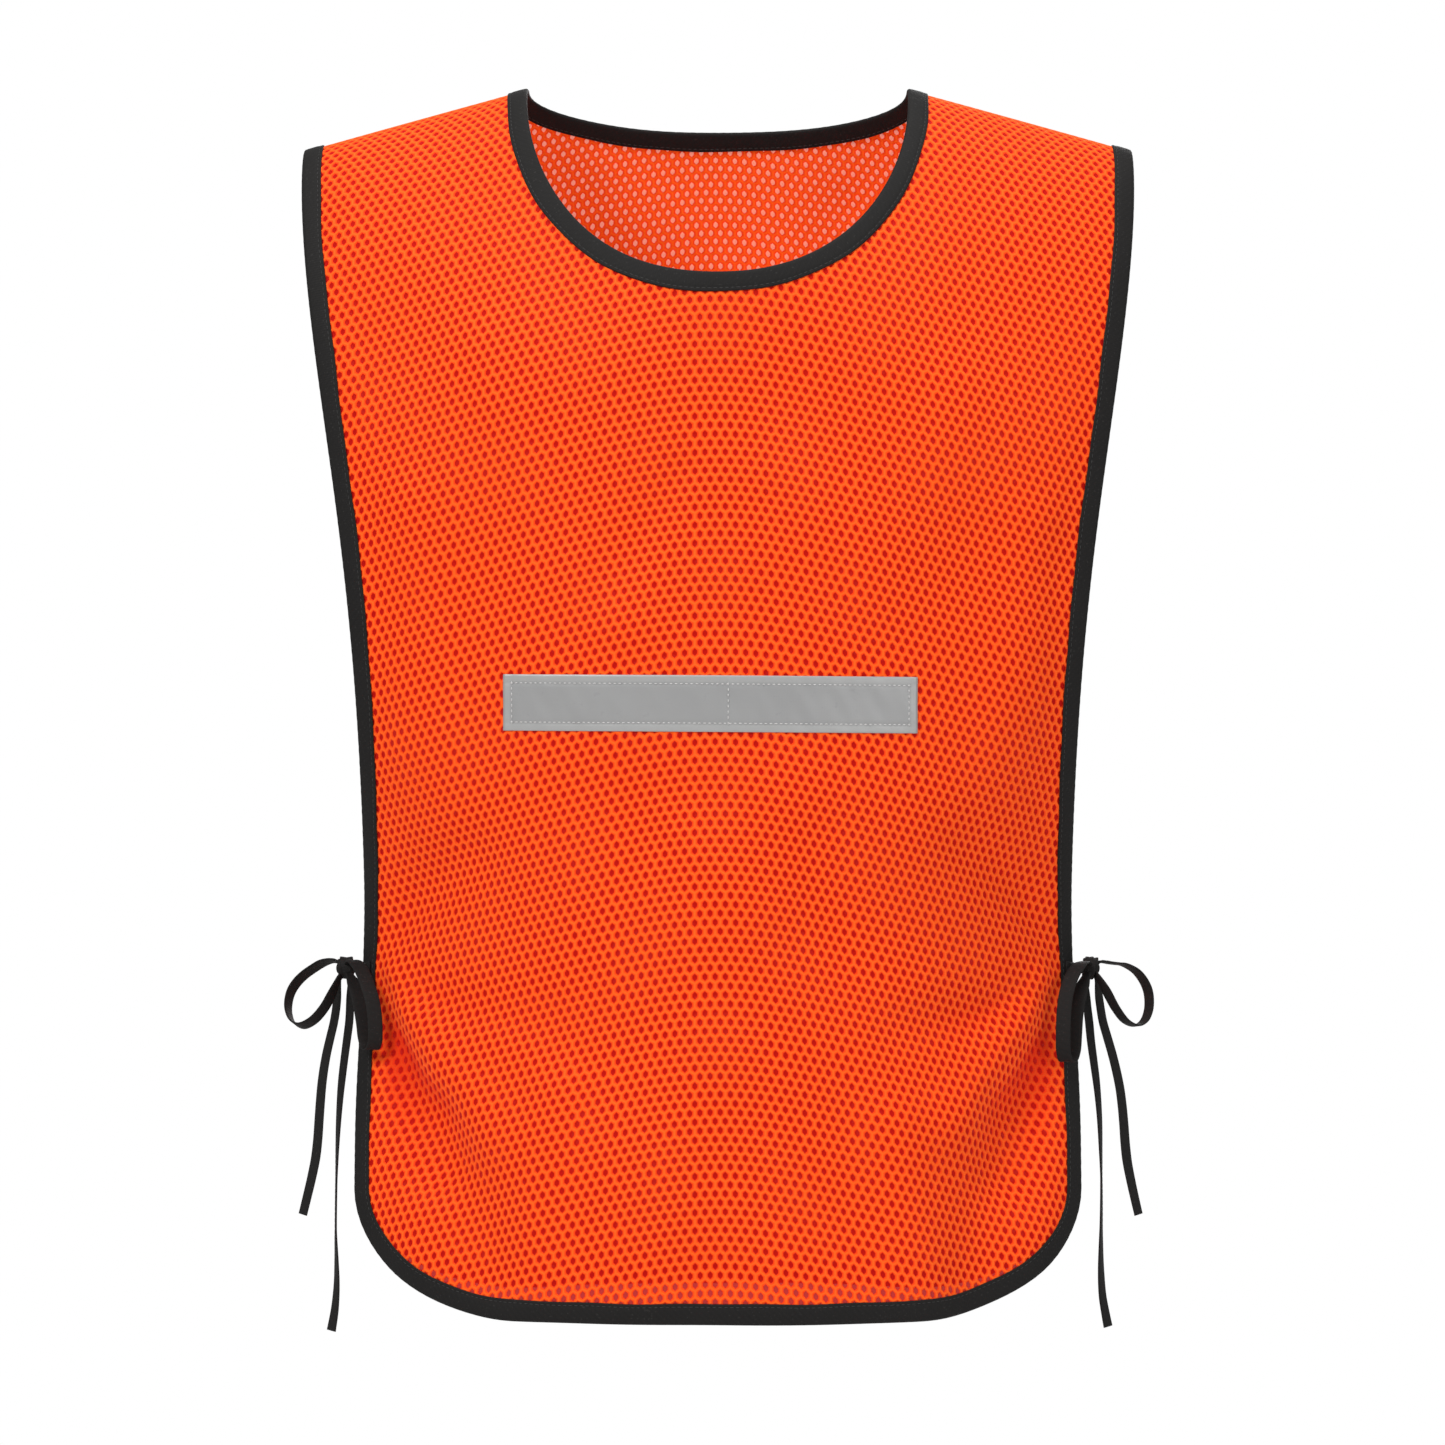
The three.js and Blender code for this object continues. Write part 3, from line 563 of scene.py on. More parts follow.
def signedVolume(mesh):
    mesh.calc_loop_triangles()
    points = np.zeros(len(mesh.vertices) * 3)
    mesh.vertices.foreach_get("co", points)
    points = points.reshape(-1, 3)
    corners = np.zeros(len(mesh.loop_triangles) * 3, dtype=np.int32)
    mesh.loop_triangles.foreach_get("vertices", corners)
    a, b, c = (points[corners.reshape(-1, 3)[:, k]] for k in range(3))
    return float((a * np.cross(b, c)).sum())


def joined(name, things):
    for thing in bpy.context.selected_objects:
        thing.select_set(False)
    for thing in things:
        thing.select_set(True)
    bpy.context.view_layer.objects.active = things[0]
    with bpy.context.temp_override(active_object=things[0], selected_editable_objects=things):
        bpy.ops.object.join()
    things[0].name = name
    return things[0]


# Evaluates a node modifier on a holder object and gives the result as a plain mesh object
def nodeResult(name, holder, group, values, material):
    modifier = holder.modifiers.new("maker", "NODES")
    modifier.node_group = group
    for item in group.interface.items_tree:
        if item.item_type == "SOCKET" and item.in_out == "INPUT" and item.name in values:
            modifier[item.identifier] = values[item.name]
    depsgraph = bpy.context.evaluated_depsgraph_get()
    depsgraph.update()
    mesh = bpy.data.meshes.new_from_object(holder.evaluated_get(depsgraph))
    mesh.name = name
    holder.modifiers.clear()
    bpy.data.objects.remove(holder)
    return newObject(name, mesh, material)


def newGroup(name, inputs):
    group = bpy.data.node_groups.new(name, "GeometryNodeTree")
    group.interface.new_socket("Geometry", in_out="INPUT", socket_type="NodeSocketGeometry")
    for socket, kind in inputs.items():
        group.interface.new_socket(socket, in_out="INPUT", socket_type="NodeSocket" + kind)
    group.interface.new_socket("Geometry", in_out="OUTPUT", socket_type="NodeSocketGeometry")
    nodes = Nodes(group)
    source = group.nodes.new("NodeGroupInput")
    given = {socket.name: Wire(nodes, socket) for socket in source.outputs if socket.name}
    return group, nodes, given


# Perforated net

netCell = dict(
    column=5.4 * mm, row=4.8 * mm, holeWide=2.6 * mm, holeHigh=3.9 * mm, crest=0.46 * mm,
    rim=-0.22 * mm, margin=3.5 * mm, seamGap=0.2 * mm, columnCount=98, rowCount=160)


# One cell: a pointed hexagon that meets its neighbours, with an oval sheer eyelet in it
def makeNetCell():
    halfColumn = netCell["column"] / 2
    row = netCell["row"]
    shoulder = (row * row - halfColumn * halfColumn) / (2 * row)
    tip = row - shoulder
    outer = [(halfColumn, -shoulder), (halfColumn, shoulder), (0, tip), (-halfColumn, shoulder),
             (-halfColumn, -shoulder), (0, -tip)]
    points = [(x, y, netCell["crest"]) for x, y in outer]
    for x, y in outer:
        angle = math.atan2(y / netCell["holeHigh"], x / netCell["holeWide"])
        points.append((math.cos(angle) * netCell["holeWide"] / 2, math.sin(angle) * netCell["holeHigh"] / 2,
                       netCell["rim"]))
    faces = [(k, (k + 1) % 6, 6 + (k + 1) % 6, 6 + k) for k in range(6)]
    faces.append(tuple(range(6, 12)))
    mesh = bpy.data.meshes.new("netCell")
    mesh.from_pydata(points, [], faces)
    return newObject("netCell", mesh)


def netGroup():
    group, nodes, given = newGroup("perforatedNetMaker", {
        "Cell": "Object", "Column Spacing": "Float", "Row Spacing": "Float", "Columns": "Int",
        "Rows": "Int", "Material": "Material"})
    columns, rows = given["Columns"], given["Rows"]
    grid = nodes.add("GeometryNodeMeshGrid", {}, {
        "Size X": given["Column Spacing"] * (columns - 1), "Size Y": given["Row Spacing"] * (rows - 1),
        "Vertices X": columns, "Vertices Y": rows}, "Mesh")
    index = nodes.add("GeometryNodeInputIndex")
    oddRow = index.math("MODULO", rows).math("MODULO", 2)
    outline = nodes.add("GeometryNodeMeshToCurve", {}, {"Mesh": given["Geometry"]})
    pattern = nodes.add("GeometryNodeFillCurve", dict(mode="TRIANGLES"), {"Curve": outline})
    shift = nodes.add("ShaderNodeCombineXYZ", {}, {
        "X": (oddRow - 0.5) * given["Column Spacing"] * 0.5,
        "Y": given["Row Spacing"] * (rows - 1) * 0.5})
    staggered = nodes.add("GeometryNodeSetPosition", {}, {"Geometry": grid, "Offset": shift})
    place = nodes.add("GeometryNodeInputPosition")
    above = nodes.add("ShaderNodeVectorMath", dict(operation="ADD"), {0: place, 1: (0, 0, 0.1)})
    isOnCloth = nodes.add("GeometryNodeRaycast", {}, {
        "Target Geometry": pattern, "Source Position": above,
        "Ray Direction": (0, 0, -1), "Ray Length": 1.0}, "Is Hit")
    isOff = nodes.add("FunctionNodeBooleanMath", dict(operation="NOT"), {0: isOnCloth})
    kept = nodes.add("GeometryNodeDeleteGeometry", dict(domain="POINT"),
                     {"Geometry": staggered, "Selection": isOff})
    cell = nodes.add("GeometryNodeObjectInfo", {}, {"Object": given["Cell"]}, "Geometry")
    cells = nodes.add("GeometryNodeInstanceOnPoints", {}, {"Points": kept, "Instance": cell})
    real = nodes.add("GeometryNodeRealizeInstances", {}, {"Geometry": cells})
    welded = nodes.add("GeometryNodeMergeByDistance", {}, {"Geometry": real, "Distance": 0.1 * mm})
    done = nodes.add("GeometryNodeSetMaterial", {}, {"Geometry": welded, "Material": given["Material"]})
    nodes.add("NodeGroupOutput", {}, {"Geometry": done})
    return group


# How far across and down the cloth each place lies, so that the net keeps its own spacing
acrossTable = dict(rows=np.linspace(0, 0.81, 163), xs=np.linspace(0, 0.24, 121), downAt=0.1)


def acrossRuns(side):
    x = acrossTable["xs"][None, :]
    fall = side * np.maximum(acrossTable["rows"], 1 * mm)[:, None]
    points = wornPoint(x, fall)
    hops = np.linalg.norm(np.diff(points, axis=1), axis=-1)
    return np.concatenate([np.zeros((len(points), 1)), np.cumsum(hops, axis=1)], axis=1)


def downRuns(side):
    points = wornPoint(acrossTable["downAt"], side * acrossTable["rows"])
    hops = np.linalg.norm(np.diff(points, axis=0), axis=-1)
    return np.concatenate([[0], np.cumsum(hops)])


def flatFromCloth(places, runs, down):
    rows = acrossTable["rows"]
    flat = places.copy()
    for k, (x, fall) in enumerate(places):
        row = min(int(fall / rows[1]), len(rows) - 2)
        share = fall / rows[1] - row
        ends = [np.interp(abs(x), acrossTable["xs"], runs[row + e]) for e in (0, 1)]
        flat[k, 0] = math.copysign(mixed(ends[0], ends[1], share), x)
    flat[:, 1] = np.interp(places[:, 1], rows, down)
    return flat


def clothFromFlat(u, v, runs, down):
    rows = acrossTable["rows"]
    fall = np.interp(v, down, rows)
    row = np.minimum((fall / rows[1]).astype(int), len(rows) - 2)
    x = np.zeros_like(u)
    for r in np.unique(row):
        here = row == r
        share = fall[here] / rows[1] - r
        ends = [np.interp(np.abs(u[here]), runs[r + e], acrossTable["xs"]) for e in (0, 1)]
        x[here] = np.sign(u[here]) * mixed(ends[0], ends[1], share)
    return x, fall


def makeNet(name, side, neck, outer, group, cell, material):
    inset = netCell["margin"]
    whole = np.concatenate([outer, (outer * [-1, 1])[::-1][1:], (neck * [-1, 1]), neck[::-1][1:]])
    heading = np.roll(whole, -1, axis=0) - np.roll(whole, 1, axis=0)
    length = np.linalg.norm(heading, axis=1)
    steady = length > 1e-6
    whole, heading = whole[steady], heading[steady]
    step = sideways(whole[:, 0], side * whole[:, 1], heading * [1, side]) * [1, side]
    runs, down = acrossRuns(side), downRuns(side)
    flatCut = flatFromCloth(whole, runs, down)
    drawnIn = np.maximum(whole + side * step * inset, [-1, 0])
    drawnIn[whole[:, 1] < 1 * mm, 1] = 0  # the shoulder line is sewn, not bound, so it keeps its place
    flatInner = flatFromCloth(drawnIn, runs, down)
    mesh = bpy.data.meshes.new("flatCut")
    count = len(flatInner)
    mesh.from_pydata([(x, y, 0) for x, y in flatInner], [(k, (k + 1) % count) for k in range(count)], [])
    holder = newObject("flatCut", mesh)
    net = nodeResult(name, holder, group, {
        "Cell": cell, "Column Spacing": netCell["column"], "Row Spacing": netCell["row"],
        "Columns": netCell["columnCount"], "Rows": netCell["rowCount"], "Material": material}, material)
    mesh = net.data
    count = len(mesh.vertices)
    flat = np.zeros(count * 3)
    mesh.vertices.foreach_get("co", flat)
    flat = flat.reshape(-1, 3)
    height = flat[:, 2]
    x, fall = clothFromFlat(flat[:, 0], flat[:, 1], runs, down)
    points = clothAt(x, side * np.maximum(fall, netCell["seamGap"]), height)
    mesh.vertices.foreach_set("co", points.ravel())
    relief = (height - netCell["rim"]) / (netCell["crest"] - netCell["rim"])
    mesh.attributes.new("relief", "FLOAT", "POINT").data.foreach_set("value", relief)
    # The pinch attribute is painted shade: it is high in the fold valleys near each tie.
    tied = np.array([cut["waistHalf"] - foldLook["pinchInset"], -drape["tieLevel"] - foldLook["pinchDrop"]])
    away = np.hypot(np.abs(points[:, 0]) - tied[0], points[:, 2] - tied[1]) / foldLook["pinchReach"]
    valleyForShade = smooth(-foldHeight(x, side * fall), foldLook["pinchFrom"], foldLook["pinchFull"])
    pinch = valleyForShade * np.exp(-away ** 2)
    mesh.attributes.new("pinch", "FLOAT", "POINT").data.foreach_set("value", pinch)
    layer = mesh.uv_layers.new(name="cloth")
    corners = np.zeros(len(mesh.loops), dtype=np.int32)
    mesh.loops.foreach_get("vertex_index", corners)
    layer.data.foreach_set("uv", flat[corners, :2].ravel())
    if side > 0:
        mesh.flip_normals()
    mesh.shade_smooth()
    mesh.update()
    a, b = flatCut, np.roll(flatCut, -1, axis=0)
    area = abs((a[:, 0] * b[:, 1] - a[:, 1] * b[:, 0]).sum()) / 2
    size = (float(np.ptp(flatCut[:, 0])), float(np.ptp(flatCut[:, 1])))
    print(name, "triangles", sum(len(p.vertices) - 2 for p in mesh.polygons), "flat", size, "area", area)
    return net, size, float(area)


frontNeck = neckQuarter(cut["frontNeckDrop"])
backNeck = neckQuarter(cut["backNeckDrop"])
outerCut = outerQuarter()
netMaker = netGroup()
cellObject = makeNetCell()
frontNet, frontFlat, frontArea = makeNet(
    "front_net", 1, frontNeck, outerCut, netMaker, cellObject, frontMesh)
backNet, backFlat, backArea = makeNet(
    "back_net", -1, backNeck, outerCut, netMaker, cellObject, backMesh)
bpy.data.objects.remove(cellObject)
for net, node, flat, area in ((frontNet, "front_panel", frontFlat, frontArea),
                              (backNet, "back_panel", backFlat, backArea)):
    declare(net, node)
print("nets draped")


# Rows of stitches along a line

def stitchGroup():
    group, nodes, given = newGroup("stitchMaker", {
        "Stitch Spacing": "Float", "Stitch Length": "Float", "Thread": "Float", "Material": "Material"})
    line = nodes.add("GeometryNodeMeshToCurve", {}, {"Mesh": given["Geometry"]})
    spaced = nodes.add("GeometryNodeResampleCurve", dict(mode="LENGTH"),
                       {"Curve": line, "Length": given["Stitch Spacing"]})
    bead = nodes.add("GeometryNodeMeshUVSphere", {}, {"Segments": 6, "Rings": 4, "Radius": 0.5}, "Mesh")
    size = nodes.add("ShaderNodeCombineXYZ", {}, {
        "X": given["Stitch Length"], "Y": given["Thread"], "Z": given["Thread"]})
    heading = nodes.add("GeometryNodeInputTangent")
    turn = nodes.add("FunctionNodeAlignRotationToVector", dict(axis="X"), {"Vector": heading})
    stitches = nodes.add("GeometryNodeInstanceOnPoints", {}, {
        "Points": spaced, "Instance": bead, "Rotation": turn, "Scale": size})
    real = nodes.add("GeometryNodeRealizeInstances", {}, {"Geometry": stitches})
    done = nodes.add("GeometryNodeSetMaterial", {}, {"Geometry": real, "Material": given["Material"]})
    nodes.add("NodeGroupOutput", {}, {"Geometry": done})
    return group


stitchMaker = stitchGroup()


def stitchRow(name, lines, spacing, length, thread, material):
    points, edges = [], []
    for line in lines:
        first = len(points)
        points += [tuple(p) for p in line]
        edges += [(first + k, first + k + 1) for k in range(len(line) - 1)]
    mesh = bpy.data.meshes.new(name)
    mesh.from_pydata(points, edges, [])
    made = nodeResult(name, newObject(name, mesh), stitchMaker, {
        "Stitch Spacing": spacing, "Stitch Length": length, "Thread": thread, "Material": material}, material)
    made.data.shade_smooth()
    return made


# Bindings: bias tape folded over each cut edge

bindingLook = dict(
    width=10 * mm, edge=1.15 * mm, spacing=2.4 * mm, seamInset=1.7 * mm, stitch=3.1 * mm,
    thread=0.34 * mm, pucker=0.10 * mm, waver=0.35 * mm)


def bindingPieces(name, node, places, inwardSign):
    look = bindingLook
    even, at, total = evenly(places, look["spacing"])
    heading = np.roll(even, -1, axis=0) - np.roll(even, 1, axis=0)
    inward = sideways(even[:, 0], even[:, 1], heading) * inwardSign
    waver = look["waver"] * (np.sin(at * 61) * 0.5 + np.sin(at * 137 + 1.3) * 0.5)
    pucker = look["pucker"] * np.sin(at * 2 * math.pi / (2.6 * look["spacing"]) + np.sin(at * 90))
    w = look["width"]
    seam = look["seamInset"]
    # Distance in from the cut edge, and height over the cloth in millimetres, for one leg's outside
    leg = [(w, 0.50), (w + 0.1 * mm, 0.80), (w - 0.2 * mm, 1.16), (w - 0.8 * mm, 1.30), (w - seam, 1.10),
           (w - seam - 0.9 * mm, 1.34), (w * 0.62, 1.44), (w * 0.36, 1.42), (w * 0.12, 1.36),
           (-0.30 * mm, 1.20), (-0.80 * mm, 0.80), (-look["edge"], 0.30)]
    inner = [(-0.1 * mm, 0.42), (w * 0.5, 0.46)]
    profile = leg + [(s, -h) for s, h in reversed(leg)] + [(s, -h) for s, h in reversed(inner)] + inner
    sections = []
    middle = foldedPoint(even[:, 0], even[:, 1])
    normal = normalOf(foldedPoint, even[:, 0], even[:, 1])
    innerPlace = even + inward * w
    inside = foldedPoint(innerPlace[:, 0], innerPlace[:, 1])
    outward = middle - inside
    outward /= np.linalg.norm(outward, axis=1, keepdims=True)
    for s, h in profile:
        tall = h * mm + np.sign(h) * pucker * (0.4 if s > w * 0.5 else 1.0)
        if s <= 0:
            sections.append(middle - outward * s + normal * tall[:, None])
            continue
        reach = s + waver * (s / w)
        place = even + inward * reach[:, None]
        sections.append(clothAt(place[:, 0], place[:, 1], tall))
    band = sweptObject(name, np.stack(sections, axis=1), blackTape, isLoop=True)
    rows = []
    for face in (1, -1):
        place = even + inward * (w - seam + waver)[:, None]
        line = clothAt(place[:, 0], place[:, 1], np.full(len(even), face * 1.18 * mm))
        rows.append(np.concatenate([line, line[:1]]))
    stitches = stitchRow(name + "_stitches", rows, look["stitch"], look["stitch"] * 0.78, look["thread"],
                         blackThread)
    declare(band, node)
    declare(stitches)
    return total


neckRun = bindingPieces("neck_binding_tape", "neck_binding", wholeEdge(frontNeck, backNeck), -1)
edgeRun = bindingPieces("edge_binding_tape", "edge_binding", wholeEdge(outerCut, outerCut), 1)
print("bindings", round(neckRun, 3), round(edgeRun, 3))


# Reflective strips

stripPiece = dict(
    long=220 * mm, high=30 * mm, thick=0.55 * mm, level=337 * mm, aside=-4 * mm, lift=0.55 * mm,
    tilt=-0.007, seamInset=4.6 * mm, barAside=9.5 * mm, dip=0.28 * mm, dipWide=0.8 * mm, stitch=2.7 * mm,
    thread=0.66 * mm)


def stripPlace(side, x, rise):
    look = stripPiece
    placed = x + look["aside"]
    return placed, side * fallAt(placed, -look["level"] + rise + look["tilt"] * side * x)


def reflectiveStrip(name, side):
    look = stripPiece
    halfHigh = look["high"] / 2
    halfLong = look["long"] / 2
    seamRise = halfHigh - look["seamInset"]
    x = np.linspace(-halfLong, halfLong, 150)
    rises = np.concatenate([
        [-halfHigh, -halfHigh + 0.3 * mm], np.linspace(-halfHigh + 1.2 * mm, halfHigh - 1.2 * mm, 27),
        [halfHigh - 0.3 * mm, halfHigh]])
    top = []
    for rise in rises:
        dip = np.exp(-(((abs(rise) - seamRise) / look["dipWide"]) ** 2)) * np.ones_like(x)
        for bar in (-halfLong + look["seamInset"], look["barAside"], halfLong - look["seamInset"]):
            dip = np.maximum(dip, np.exp(-(((x - bar) / look["dipWide"]) ** 2)))
        puff = 0.16 * mm * np.sin(x * 410 + rise * 300) * np.sin(x * 160)
        edge = 0.25 * mm * (abs(rise) > halfHigh - 0.1 * mm)
        height = look["lift"] + look["thick"] - look["dip"] * dip + puff - edge
        placed, fall = stripPlace(side, x, rise)
        top.append(clothAt(placed, fall, height))
    bottom = []
    for rise in rises[::-1]:
        placed, fall = stripPlace(side, x, rise)
        bottom.append(clothAt(placed, fall, np.full_like(x, look["lift"])))
    strip = sweptObject(name + "_reflective_film", np.stack(top + bottom, axis=1), reflectiveFilm)
    mesh = strip.data
    away = halfHigh - np.abs(rises)
    byCorner = np.concatenate([away, away[::-1]])
    endAway = halfLong - np.abs(x)
    toEdge = np.minimum(byCorner[None, :], endAway[:, None])
    rim = np.clip(1 - (toEdge - look["seamInset"] * 0.75) / (0.8 * mm), 0, 1)
    mesh.attributes.new("rim", "FLOAT", "POINT").data.foreach_set("value", rim.ravel())
    lines = []
    seamLong = halfLong - look["seamInset"]
    across = np.linspace(-seamLong, seamLong, 90)
    up = np.linspace(-seamRise, seamRise, 14)

    def seam(xs, risesHere):
        placed, fall = stripPlace(side, xs, risesHere)
        return clothAt(placed, fall, np.full(len(placed), look["lift"] + look["thick"]))

    for rise in (-seamRise, seamRise):
        lines.append(seam(across, np.full_like(across, rise)))
    for bar in (-seamLong, look["barAside"], seamLong):
        lines.append(seam(np.full_like(up, bar), up))
    stitches = stitchRow(name + "_strip_stitches", lines, look["stitch"], look["stitch"] * 0.66,
                         look["thread"], greyThread)
    declare(strip, name + "_reflective_strip")
    declare(stitches, name + "_strip_stitching")


reflectiveStrip("front", 1)
reflectiveStrip("back", -1)
print("strips sewn on")


# Tapes: a soft flat section along a route

tapePiece = dict(
    width=8 * mm, thick=1.15 * mm, gathered=0.5, gatherRun=14 * mm, step=0.8 * mm, tuck=0.7,
    seam=0.62, stitch=3.2 * mm, sag=0.14 * mm)


def routeCurve(points, step):
    points = np.array(points, float)
    padded = np.concatenate([[2 * points[0] - points[1]], points, [2 * points[-1] - points[-2]]])
    fine = []
    for k in range(len(points) - 1):
        p0, p1, p2, p3 = padded[k:k + 4]
        t0 = 0.0
        t1 = t0 + np.linalg.norm(p1 - p0) ** 0.5
        t2 = t1 + np.linalg.norm(p2 - p1) ** 0.5
        t3 = t2 + np.linalg.norm(p3 - p2) ** 0.5
        for t in np.linspace(t1, t2, 12, endpoint=False):
            a1 = mixed(p0, p1, (t - t0) / (t1 - t0))
            a2 = mixed(p1, p2, (t - t1) / (t2 - t1))
            a3 = mixed(p2, p3, (t - t2) / (t3 - t2))
            b1 = mixed(a1, a2, (t - t0) / (t2 - t0))
            b2 = mixed(a2, a3, (t - t1) / (t3 - t1))
            fine.append(mixed(b1, b2, (t - t1) / (t2 - t1)))
    fine.append(points[-1])
    fine = np.array(fine)
    run = np.concatenate([[0], np.cumsum(np.linalg.norm(np.diff(fine, axis=0), axis=1))])
    at = np.linspace(0, run[-1], int(run[-1] / step) + 2)
    return np.stack([np.interp(at, run, fine[:, k]) for k in range(3)], axis=-1), at


def tapeProfile():
    angles = np.arange(20) * (2 * math.pi / 20) + math.pi / 20
    w = np.sign(np.cos(angles)) * np.abs(np.cos(angles)) ** 0.42
    t = np.sign(np.sin(angles)) * np.abs(np.sin(angles)) ** 0.75
    return w, t


def tapeObject(name, line, at, acrossAt, knotEnds, material=blackTape, width=None):
    look = tapePiece
    width = width or look["width"]
    heading = np.gradient(line, axis=0)
    heading /= np.linalg.norm(heading, axis=1, keepdims=True)
    across = acrossAt(at / at[-1])
    across = across - heading * (across * heading).sum(-1, keepdims=True)
    across /= np.linalg.norm(across, axis=1, keepdims=True)
    normal = np.cross(heading, across)
    wide = np.full(len(at), 1.0)
    for end in knotEnds:
        run = np.abs(at - end * at[-1])
        wide = np.minimum(wide, mixed(look["gathered"], 1, smooth(run, 0, look["gatherRun"])))
    w, t = tapeProfile()
    sections = []
    isStitched = (np.sin(at * 2 * math.pi / look["stitch"]) > -0.55) * 1.0
    for wk, tk in zip(w, t):
        bunch = 1 + (1 - wide) * 0.9 * (0.55 + 0.45 * math.cos(wk * 9))
        thick = look["thick"] / 2 * bunch * tk
        seam = math.exp(-(((wk - look["seam"]) / 0.16) ** 2))
        dent = look["sag"] * math.cos(wk * 2.2) * np.sin(at * 95 + wk)
        stitched = np.sign(tk) * seam * (isStitched * 0.16 * mm - 0.12 * mm) * (abs(tk) > 0.3)
        lift = thick + stitched + dent * 0.5
        sections.append(line + across * (wk * wide * width / 2)[:, None] + normal * lift[:, None])
    return sweptObject(name, np.stack(sections, axis=1), material)


hands = {"left": -1, "right": 1}


def nearKnot(hand, offset):
    out, fore, up = offset
    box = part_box(f"{hand}_knot")
    centre = [(a + b) / 2 for a, b in zip(*box)]
    return (centre[0] + hands[hand] * out * mm, centre[1] - fore * mm, centre[2] + up * mm)


leftBow = {
    "outer_loop": dict(across=(0.45, 0.77, 0.45), route=[
        (4.9, -2.6, 3.4), (8.6, -4.8, 3.8), (13.5, -6.8, 2.4), (19, -8, -0.9), (23.6, -8.2, -4.2),
        (27.6, -7.6, -8.2), (30.6, -6.2, -13), (32, -4.2, -18.6), (31.8, -1.8, -24.2),
        (29.4, 0.8, -29.4), (24.6, 3.8, -31.6), (17.9, 6.8, -28.6), (11.8, 8.4, -22),
        (7.4, 8.2, -14.2), (3.6, 5, -5.6)]),
    "inner_loop": dict(across=(1, 0.15, 0), route=[
        (-1.6, 5.9, 3.2), (-4.6, 12, 4.4), (-8.4, 18.4, 1.6), (-11.6, 24, -3.6), (-14.4, 28.4, -10),
        (-16.6, 31, -17.4), (-17.8, 32.6, -25), (-18.2, 33.2, -32), (-18, 32.6, -38.4),
        (-16.4, 30, -42.4), (-13.8, 26.6, -42), (-12, 24.2, -37), (-11, 22.6, -29.6),
        (-9.6, 21, -21.6), (-7.6, 18, -13.6), (-4.8, 12.6, -7.2), (-2.2, 6.2, -3.2)]),
    "outer_tail": dict(turns=(-56, -52, -50, -48, -52), route=[
        (3.8, 0, -5.6), (4.4, 0, -10), (4.8, 0.2, -15), (5.4, 0.4, -22), (6.6, 0.5, -29.5),
        (8.6, 0.5, -38), (10.6, 0.4, -46.6), (12.2, 0.2, -55.4), (13.4, -0.1, -64.6),
        (14.2, -0.3, -74), (14.9, -0.4, -84), (15.6, -0.5, -94), (16.8, -0.5, -104.4),
        (19, -0.4, -115.4), (21.4, -0.2, -125.6), (23.8, 0.2, -135.6)]),
    "inner_tail": dict(turns=(-56, -54, -58, -70, -84, -84, -66, -50), route=[
        (-2.2, 0, -6.4), (-2.3, 0, -12), (-2.2, 0.3, -20), (-1.8, 0.5, -29), (-0.4, 0.6, -40),
        (1.2, 0.5, -52), (2.8, 0.3, -66), (4, 0, -82), (4.8, -0.2, -98), (5.3, -0.4, -114),
        (5.6, -0.5, -130), (5.7, -0.5, -146), (5.3, -0.4, -160), (5.2, -0.1, -174),
        (6.2, 0.2, -187.6), (8.1, 0.5, -199.4)]),
}
rightBow = {
    "outer_loop": dict(across=(0.55, 0.8, 0.1), route=[
        (5.2, -2.4, 3.3), (8.2, -4.2, 3.2), (11.4, -5.8, 2.6), (15, -7.2, 2.1), (18.8, -8.2, 1.6),
        (22.6, -8.8, 0), (26.4, -8.8, -2.6), (29.8, -8, -6.8), (32.2, -6.4, -12), (33, -4, -18),
        (32.2, -1.2, -24.2), (29.6, 1.8, -29.2), (25.2, 4.8, -31.4), (19.4, 7.6, -29),
        (13.8, 9.2, -22), (9, 8.6, -13.2), (4.4, 5, -5.2)]),
    "inner_loop": dict(across=(1, 0.15, 0), route=[
        (-1.8, 5.8, 3.2), (-5.4, 12.2, 3), (-9.4, 18.6, -0.8), (-12.6, 24, -6.6), (-14.8, 28, -13),
        (-16, 30.8, -20.4), (-16.6, 32.8, -28.6), (-16.8, 33.8, -36.6), (-16.6, 33.6, -43.6),
        (-15.2, 31.4, -48.6), (-12.6, 28.2, -48.8), (-10.6, 25.8, -44), (-9.8, 24, -35.8),
        (-9.2, 22.4, -27.6), (-8.2, 20, -19.6), (-6, 15.6, -11.8), (-3.6, 10, -6.6),
        (-2, 6.3, -3.2)]),
    "outer_tail": dict(turns=(-56, -52, -50, -48, -52), route=[
        (3.8, 0, -5.6), (4.6, 0, -12), (5.6, 0.2, -20), (7.2, 0.4, -29.5), (9.6, 0.5, -38),
        (12.2, 0.4, -47), (14.6, 0.2, -56.6), (16.6, -0.1, -66.4), (17.9, -0.3, -76.4),
        (18.8, -0.4, -86.4), (19.5, -0.5, -96.4), (20.6, -0.5, -106.4), (22.6, -0.3, -117),
        (24.8, -0.1, -127), (26.8, 0.2, -135.6)]),
    "inner_tail": dict(turns=(-56, -54, -58, -70, -84, -78, -62, -50), route=[
        (-2.2, 0, -6.4), (-2, 0, -13), (-1.4, 0.3, -21), (-0.4, 0.5, -29.5), (0.6, 0.6, -40),
        (2.2, 0.5, -52), (4, 0.3, -66), (5.4, 0, -83), (6, -0.2, -100), (6.4, -0.4, -116.4),
        (6.4, -0.5, -133), (6.2, -0.5, -149.4), (6.2, -0.3, -165.9), (7, 0, -180.2),
        (8.8, 0.3, -191), (10, 0.5, -197.2)]),
}


